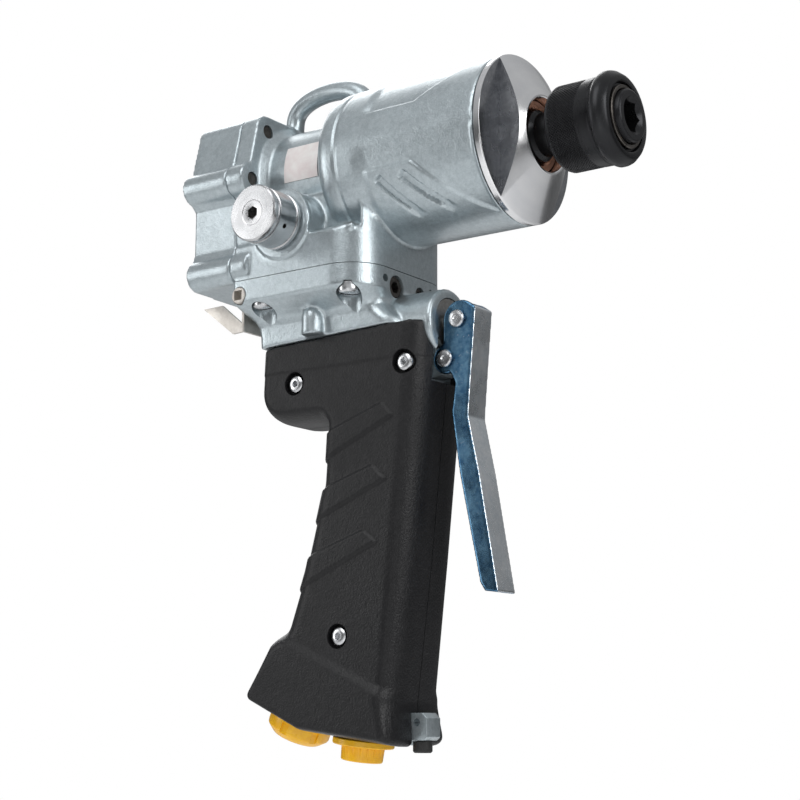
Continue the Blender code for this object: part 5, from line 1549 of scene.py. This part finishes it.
@dataclass
class Grip:
    """Two moulded grip halves with raised bars on their flanks."""

    finishes: Finishes
    half_width: float = 18.0
    block_width: float = 20.0
    wall: float = 4.3
    bars: tuple[tuple[Pair, Pair, Pair, Pair], ...] = (
        ((89.8, -99.4), (48.0, -113.7), (48.0, -125.7), (94.9, -105.0)),
        ((85.2, -123.2), (38.0, -138.1), (38.0, -151.1), (91.7, -129.1)),
        ((81.1, -148.0), (28.0, -165.4), (28.0, -178.5), (87.7, -152.8)),
    )
    bar_height: float = 0.85
    step_line: tuple[Pair, Pair] = ((44.9, -185.6), (89.4, -205.5))
    crease: float = -82.3

    def flank(self, side: int) -> Blank:
        """The outer form of one half, rounded towards its outline.

        Args:
            side: -1 is the right half and 1 the left half.

        Returns:
            The form, before its bars and steps.
        """
        corners = grip_corners()
        for i in (1, 2):
            corners[i] = (corners[i][0], corners[i][1] + 2.0, corners[i][2])
        share = (1.0, 0.55, 0.6, 1.0, 1.0, 1.0, 0.7, 0.22, 0.22, 0.3, 0.8, 1.0, 1.0, 1.0)
        rings = []
        for y in (-0.8, 3.0, 6.0, 8.0, 10.0, 12.0, 13.5, 15.0, 16.0, 16.8, 17.4, 17.8, self.half_width):
            rise = min(max((y - 5.5) / (self.half_width - 5.5), 0.0), 1.0)
            pull = 8.6 * (1.0 - math.sqrt(1.0 - rise * rise))
            moved = inset(corners, pull)
            ring = []
            for i, part in enumerate(share):
                (x, z, radius), (far_x, far_z, far_radius) = corners[i], moved[i]
                far_z = z if i in (0, len(share) - 1) else far_z
                ring.append((x + (far_x - x) * part, z + (far_z - z) * part, radius + (far_radius - radius) * part))
            rings.append([Vector((x, side * y, z)) for x, z in rounded(ring, 8)])
        return Blank.loft(rings)

    def relief(self, place: Vector, normal: Vector) -> Vector:
        """Raises the bars, the block round the ports and the band along the top.

        Args:
            place: A point of the skin.
            normal: Its normal.

        Returns:
            The moved point.
        """
        if abs(place.y) < 0.9 and abs(normal.y) > 0.8:
            return place
        here = Vector((place.x, place.z))
        lift = 0.0
        for bar in self.bars:
            inside = math.inf
            for first, second in zip(bar, bar[1:] + bar[:1]):
                run = Vector(second) - Vector(first)
                inside = min(inside, run.cross(here - Vector(first)) / run.length)
            lift += self.bar_height * smooth_step(inside, -0.35, 0.45)
        moved = place + normal * lift
        first, second = (Vector(end) for end in self.step_line)
        run = second - first
        below = (here - first).cross(run) / run.length
        proud = 0.11 * smooth_step(below, 0.3, 5.2) * smooth_step(103.0 - here.x, 0.0, 14.0)
        proud += 0.02 * smooth_step(here.y, self.crease - 0.5, self.crease + 0.5)
        moved.y *= 1.0 + proud
        moved.y = max(min(moved.y, self.block_width), -self.block_width)
        return moved

    def half(self, name: str, side: int) -> None:
        """One finished half.

        Args:
            name: Its side's name.
            side: -1 is the right half and 1 the left half.
        """
        blank = self.flank(side).cast(0.6, 3).shift(self.relief)
        inner = inset(grip_corners(), self.wall)
        for i in (0, -1):
            x, z, radius = inner[i]
            inner[i] = (x, z + 12.0, radius)
        reach = sorted((-side * 3.0, side * 12.5))
        middle = sorted((-side * 9.0, side * 0.15))
        tools = [
            Blank.box((0.0, middle[0], -245.0), (140.0, middle[1], -50.0)),
            Blank.prism(rounded(inner), Axis.Y, reach[0], reach[1]),
            Blank.rod(Axis.X, (0, 0, VALVE_Z), 14.3, 79.0, 125.0, 64),
            Blank.box((101.0, -9.4, -91.4), (125.0, 9.4, -50.0)),
            Blank.box((84.0, -4.8, -240.0), (120.0, 4.8, -215.9)),
        ]
        for mouth, normal in port_frames():
            tools.append(Blank.rod(Axis.Z, ORIGIN, 8.9, -18.0, 9.0, 48).place(port_matrix(mouth, normal)))
        for x, z in GRIP_SCREWS:
            tools.append(Blank.rod(Axis.Y, (x, 0, z), 2.3, -25.0, 25.0, 20))
            low, high = sorted((side * 14.6, side * 30.0))
            tools.append(Blank.lathe(((low, 0.0), (low, 4.8), (high, 4.8), (high, 0.0)), Axis.Y, (x, 0, z), 40))
        blank.cut(*tools)
        blank.finish(f"moulded_grip_{name}", "housing", Slot.PLASTIC, self.finishes["moulded_grip"],
                     (f"grip_{name}",))

    def build(self) -> None:
        """Makes both halves and the screws that clamp them."""
        self.half("right", -1)
        self.half("left", 1)
        for number, (x, z) in enumerate(GRIP_SCREWS, 1):
            self.screw(number, x, z)

    def screw(self, number: int, x: float, z: float) -> None:
        """A button-head screw with a hex socket, and its nut.

        Args:
            number: Its number.
            x: Its place along X.
            z: Its height.
        """
        face = -self.half_width + 0.5
        shape = Blank.lathe(
            ((face, 0.0), (face, 2.0), (face + 0.12, 2.7), (face + 0.5, 3.3), (face + 1.1, 3.6), (face + 2.8, 3.65),
             (face + 2.8, 2.0), (17.4, 2.0), (17.4, 0.0)),
            Axis.Y, (x, 0, z), 40,
        )
        shape.cut(Blank.rod(Axis.Y, (x, 0, z), hex_radius(2.6), face - 1.0, face + 2.0, 6))
        shape.finish(f"button_screw_{number}", "housing", Slot.BRIGHT, self.finishes["screw_steel"],
                     (f"grip_screw_{number}",), 26.0)
        nut = Blank.rod(Axis.Y, (x, 0, z), hex_radius(7.0), 14.7, 17.3, 6).bevel(0.3, 2, 30)
        nut.cut(Blank.rod(Axis.Y, (x, 0, z), 2.25, 10.0, 20.0, 24))
        nut.finish(f"grip_nut_bright_{number}", "housing", Slot.BRIGHT, self.finishes["screw_steel"],
                   (f"grip_nut_{number}",), 26.0)


@dataclass
class Trigger:
    """Bent channel lever with its two headed pins."""

    finishes: Finishes
    link: Pair = (116.9, VALVE_Z)
    half_width: float = 6.2
    wall: float = 2.0
    front: tuple[Pair, ...] = (
        (124.9, -64.0), (122.6, -91.0), (121.4, -106.0), (126.2, -128.0), (133.4, -168.0), (134.3, -173.0)
    )
    back: tuple[Pair, ...] = ((128.4, -172.2), (126.4, -169.0), (117.6, -128.0), (113.9, -104.0), (115.6, -93.0))

    def build(self) -> None:
        """Makes the lever and its pins."""
        outline = list(reversed(self.front))
        outline += arc((self.link[0] + 0.8, self.link[1]), 7.4, 50, 180, 24) + [(110.4, -76.6)]
        outline += arc(LEVER_PIVOT, 5.8, 120, 290, 30)
        outline += list(reversed(self.back))
        shape = Blank.prism(outline, Axis.Y, -self.half_width, self.half_width)
        hollow = [(x - self.wall, z) for x, z in self.front]
        hollow[0] = (hollow[0][0], -50.0)
        hollow[-1] = (hollow[-1][0] + 1.4, -180.0)
        hollow += [(95.0, -180.0), (95.0, -50.0)]
        inside = self.half_width - self.wall
        shape.cut(Blank.prism(hollow, Axis.Y, -inside, inside))
        shape.cast(0.42, 5)
        for x, z in (LEVER_PIVOT, self.link):
            shape.cut(Blank.rod(Axis.Y, (x, 0, z), 2.6, -12.0, 12.0, 32))

        def on_lit_front(centre: Vector, normal: Vector) -> bool:
            """Whether a face is on the lever's front strip, which takes the lit copy of the zinc as a painted
            highlight.
            """
            return normal.x > 0.62

        # Faces towards +X take the lit zinc copy as a painted highlight; the sides keep the blue zinc.
        shape.finish("channel_lever", "trigger", Slot.ZINC, self.finishes["zinc_blue"], ("trigger_lever",), 40.0,
                     (self.finishes["zinc_painted_highlight"], on_lit_front))
        for name, body, (x, z) in (("pivot", "housing", LEVER_PIVOT), ("link", "trigger", self.link)):
            self.pin(name, body, x, z)

    def pin(self, name: str, body: str, x: float, z: float) -> None:
        """One pin with a domed head at each end, drilled at its centre.

        Args:
            name: The pin's name.
            body: The body that it moves with.
            x: Its place along X.
            z: Its height.
        """
        face = self.half_width + GAP
        half = [(face, 2.3), (face, 3.2), (face + 0.3, 3.5), (face + 0.8, 3.4), (face + 1.3, 2.9), (face + 1.5, 2.0),
                (face + 1.5, 1.1), (face + 1.0, 0.7), (face + 1.0, 0.0)]
        profile = [(-run, out) for run, out in reversed(half)] + half
        Blank.lathe(profile, Axis.Y, (x, 0, z), 40).finish(
            f"{name}_pin_headed", body, Slot.BRIGHT, self.finishes["screw_steel"], (f"lever_{name}_pin",), 26.0
        )


@dataclass
class PortCaps:
    """Yellow dust plugs in the two hose ports."""

    finishes: Finishes
    ribs: int = 18

    def build(self) -> None:
        """Makes both plugs."""
        (rear_mouth, rear_normal), (front_mouth, front_normal) = port_frames()
        rear = Blank.lathe(
            ((-13.0, 0.0), (-13.0, 7.2), (-12.0, 8.2), (0.3, 8.2), (0.3, 12.3), (0.6, 12.6), (4.9, 12.6), (5.6, 12.3),
             (7.6, 10.2), (8.2, 9.4), (8.4, 8.6), (8.4, 6.4), (7.4, 6.0), (7.4, 0.0)),
            Axis.Z, steps=96,
        )
        cuts = []
        for i in range(6):
            turn = Matrix.Rotation(math.tau * i / 6 + 0.35, 4, "Z")
            cuts.append(Blank.box((11.7, -1.5, 1.6), (14.0, 1.5, 9.0)).place(turn))
        rear.cut(*cuts).bevel(0.18, 1, 50).place(port_matrix(rear_mouth, rear_normal))
        rear.finish("return_cap", "return_plug", Slot.YELLOW, self.finishes["yellow_cap"],
                    ("return_port_plug",), 30.0)
        front = Blank.lathe(
            ((-13.0, 0.0), (-13.0, 7.2), (-12.0, 8.2), (0.3, 8.2), (0.3, 11.7), (0.6, 12.0), (2.4, 12.0), (2.8, 11.7),
             (2.8, 8.4), (8.2, 8.1), (8.6, 7.8), (8.6, 5.9), (7.2, 5.6), (7.2, 0.0)),
            Axis.Z, steps=108,
        )
        cuts = []
        for i in range(self.ribs):
            turn = Matrix.Rotation(math.tau * i / self.ribs, 4, "Z")
            cuts.append(Blank.rod(Axis.Z, (8.75, 0, 0), 0.62, 3.1, 9.0, 8).place(turn))
        front.cut(*cuts).place(port_matrix(front_mouth, front_normal))
        front.finish("pressure_cap", "pressure_plug", Slot.YELLOW, self.finishes["yellow_cap"],
                     ("pressure_port_plug",), 30.0)


@dataclass
class RearTab:
    """Bent sheet guard behind the handle casting."""

    finishes: Finishes

    def build(self) -> None:
        """Makes the guard with eased edges."""
        arm = [(1.0, -51.4), (11.2, -51.2), (23.2, -61.0), (23.2, -63.6), (17.2, -63.9)]
        shape = Blank.box((22.0, -22.4, -63.6), (23.2, 22.4, -55.0))
        shape.join(
            Blank.prism(arm, Axis.Y, -22.4, -21.2),
            Blank.prism(arm, Axis.Y, 21.2, 22.4),
            Blank.box((22.0, -14.0, -63.6), (23.2, 14.0, -47.6)),
        )
        shape.bevel(0.2, 2, 40)
        shape.finish("sheet_guard", "housing", Slot.GROUND, self.finishes["tab_steel"], ("rear_tab",), 30.0)


class Kept:
    """CAD nodes that keep their shape and get a finish."""

    BY_FINISH: dict[str, tuple[str, ...]] = {
        "screw_steel": ("chuck_ball", "chuck_spring", "valve_spring"),
        "dark_steel": ("cover_screw_1", "cover_screw_2", "cover_screw_3", "cover_screw_4", "cover_screw_5",
                       "cover_screw_6"),
        "ground_steel_dull": ("drive_gear", "idler_gear", "drive_shaft", "shaft_bearing", "hammer_cage",
                              "hammer_front", "hammer_rear", "hammer_pin_top", "hammer_pin_bottom",
                              "reversing_spool", "valve_spool", "valve_gland"),
        "bronze_bush": ("shaft_bush", "idler_bush", "wear_plate"),
        "black_rubber": ("shaft_seal", "foot_bumper"),
    }

    @classmethod
    def dress(cls, nodes: dict[str, bpy.types.Object], finishes: Finishes) -> None:
        """Gives each kept node its material.

        Args:
            nodes: CAD nodes by name.
            finishes: The finishes.
        """
        for finish, names in cls.BY_FINISH.items():
            for name in names:
                nodes[name].data.materials.clear()
                nodes[name].data.materials.append(finishes[finish])
                LOG.info("%s keeps its shape in %s", name, finish)
        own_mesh(nodes["chuck_spring"])
        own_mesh(nodes["valve_spring"])


# --- Studio -----------------------------------------------------------------


@dataclass
class Studio:
    """Pale floor, soft boxes, a surround for reflections, and the camera."""

    floor_z: float = -0.62
    target: Triple = (0.0855, 0.0, -0.0954)

    def build(self) -> None:
        """Makes the surround, the lights and the camera."""
        bpy.context.scene.view_settings.view_transform = "Standard"
        self.floor()
        self.surround()
        self.lights()
        self.camera()

    def floor(self) -> None:
        """The pale floor, far below the tool."""
        mesh = bmesh.new()
        bmesh.ops.create_grid(mesh, x_segments=8, y_segments=8, size=3.0)
        data = bpy.data.meshes.new("pale_floor")
        mesh.to_mesh(data)
        mesh.free()
        data.transform(Matrix.Translation((0.0, 0.0, self.floor_z)))
        floor = bpy.data.objects.new("pale_floor", data)
        material = bpy.data.materials.new("pale_floor")
        material.use_nodes = True
        shader = material.node_tree.nodes["Principled BSDF"]
        shader.inputs["Base Color"].default_value = (0.92, 0.92, 0.92, 1)
        shader.inputs["Roughness"].default_value = 0.9
        data.materials.append(material)
        bpy.context.scene.collection.objects.link(floor)

    def surround(self) -> None:
        """White behind the tool, and a graded studio in reflections."""
        world = bpy.data.worlds.new("studio")
        bpy.context.scene.world = world
        world.use_nodes = True
        graph = Graph(world.node_tree)
        world.node_tree.nodes.clear()
        where = graph.add("TexCoord").outputs["Generated"]
        parts = graph.add("SeparateXYZ", {0: where}).outputs
        height = graph.spread(parts[2], -1.0, 1.0, 0.0, 1.0)
        ramp = graph.add("ValToRGB", {0: height})
        stops = ((0.0, 0.52), (0.34, 0.40), (0.46, 0.16), (0.56, 0.20), (0.72, 0.62), (1.0, 0.95))
        elements = ramp.color_ramp.elements
        for i, (at, level) in enumerate(stops):
            element = elements[i] if i < 2 else elements.new(at)
            element.position = at
            element.color = (level, level * 1.01, level * 1.03, 1)
        soft = graph.add("Background", {"Color": ramp.outputs[0], "Strength": 0.55})
        plain = graph.add("Background", {"Color": (1, 1, 1, 1), "Strength": 1.0})
        seen = graph.add("LightPath").outputs["Is Camera Ray"]
        mixed = graph.add("MixShader", {0: seen, 1: soft.outputs[0], 2: plain.outputs[0]})
        graph.add("OutputWorld", {0: mixed.outputs[0]})

    def lights(self) -> None:
        """Soft boxes: key from the front left and above, fill from the right, one low and one behind."""
        for name, place, size, energy in (
            ("key_box", (0.05, -1.1, 1.0), 0.9, 9.0),
            ("right_box", (1.3, -0.35, 0.35), 0.7, 8.0),
            ("low_box", (0.5, -0.9, -0.5), 0.7, 1.6),
            ("back_box", (-0.9, 0.8, 0.8), 0.9, 8.0),
            ("left_box", (-0.9, -0.8, 0.1), 0.5, 3.0),
        ):
            data = bpy.data.lights.new(name, "AREA")
            data.shape = "RECTANGLE"
            data.size = size
            data.size_y = size * 1.4
            data.energy = energy
            light = bpy.data.objects.new(name, data)
            light.location = place
            toward = Vector(self.target) - Vector(place)
            light.rotation_euler = toward.to_track_quat("-Z", "Y").to_euler()
            bpy.context.scene.collection.objects.link(light)

    def camera(self) -> None:
        """The camera, below the barrel and looking up at the chuck side."""
        data = bpy.data.cameras.new("view")
        data.lens = 77.07
        data.sensor_width = 36.0
        data.clip_start = 0.01
        camera = bpy.data.objects.new("view", data)
        azimuth, elevation, roll = math.radians(35.77), math.radians(-10.84), math.radians(0.21)
        back = Vector((
            math.sin(azimuth) * math.cos(elevation),
            -math.cos(azimuth) * math.cos(elevation),
            math.sin(elevation),
        ))
        right = Vector((math.cos(azimuth), math.sin(azimuth), 0.0))
        up = back.cross(right)
        frame = Matrix((right, up, back)).transposed().to_4x4()
        camera.matrix_world = (
            Matrix.Translation((0.47173, -0.53611, -0.22182)) @ frame @ Matrix.Rotation(roll, 4, "Z")
        )
        bpy.context.scene.collection.objects.link(camera)
        bpy.context.scene.camera = camera


def main() -> None:
    """Loads the frame, builds every sub-assembly round it, and sets up the studio."""
    for old in list(bpy.data.objects):
        bpy.data.objects.remove(old, do_unlink=True)
    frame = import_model()
    finishes = Finishes()
    Studio().build()
    for kind in (Housing, RearCover, Nose, Chuck, Reverser, HandleCasting, Grip, Trigger, PortCaps, RearTab):
        kind(finishes).build()
        LOG.info("%s is built", kind.__name__)
    Kept.dress(frame["nodes"], finishes)


if __name__ == "__main__":
    logging.basicConfig(level=logging.INFO, format="%(name)s %(message)s")
    main()
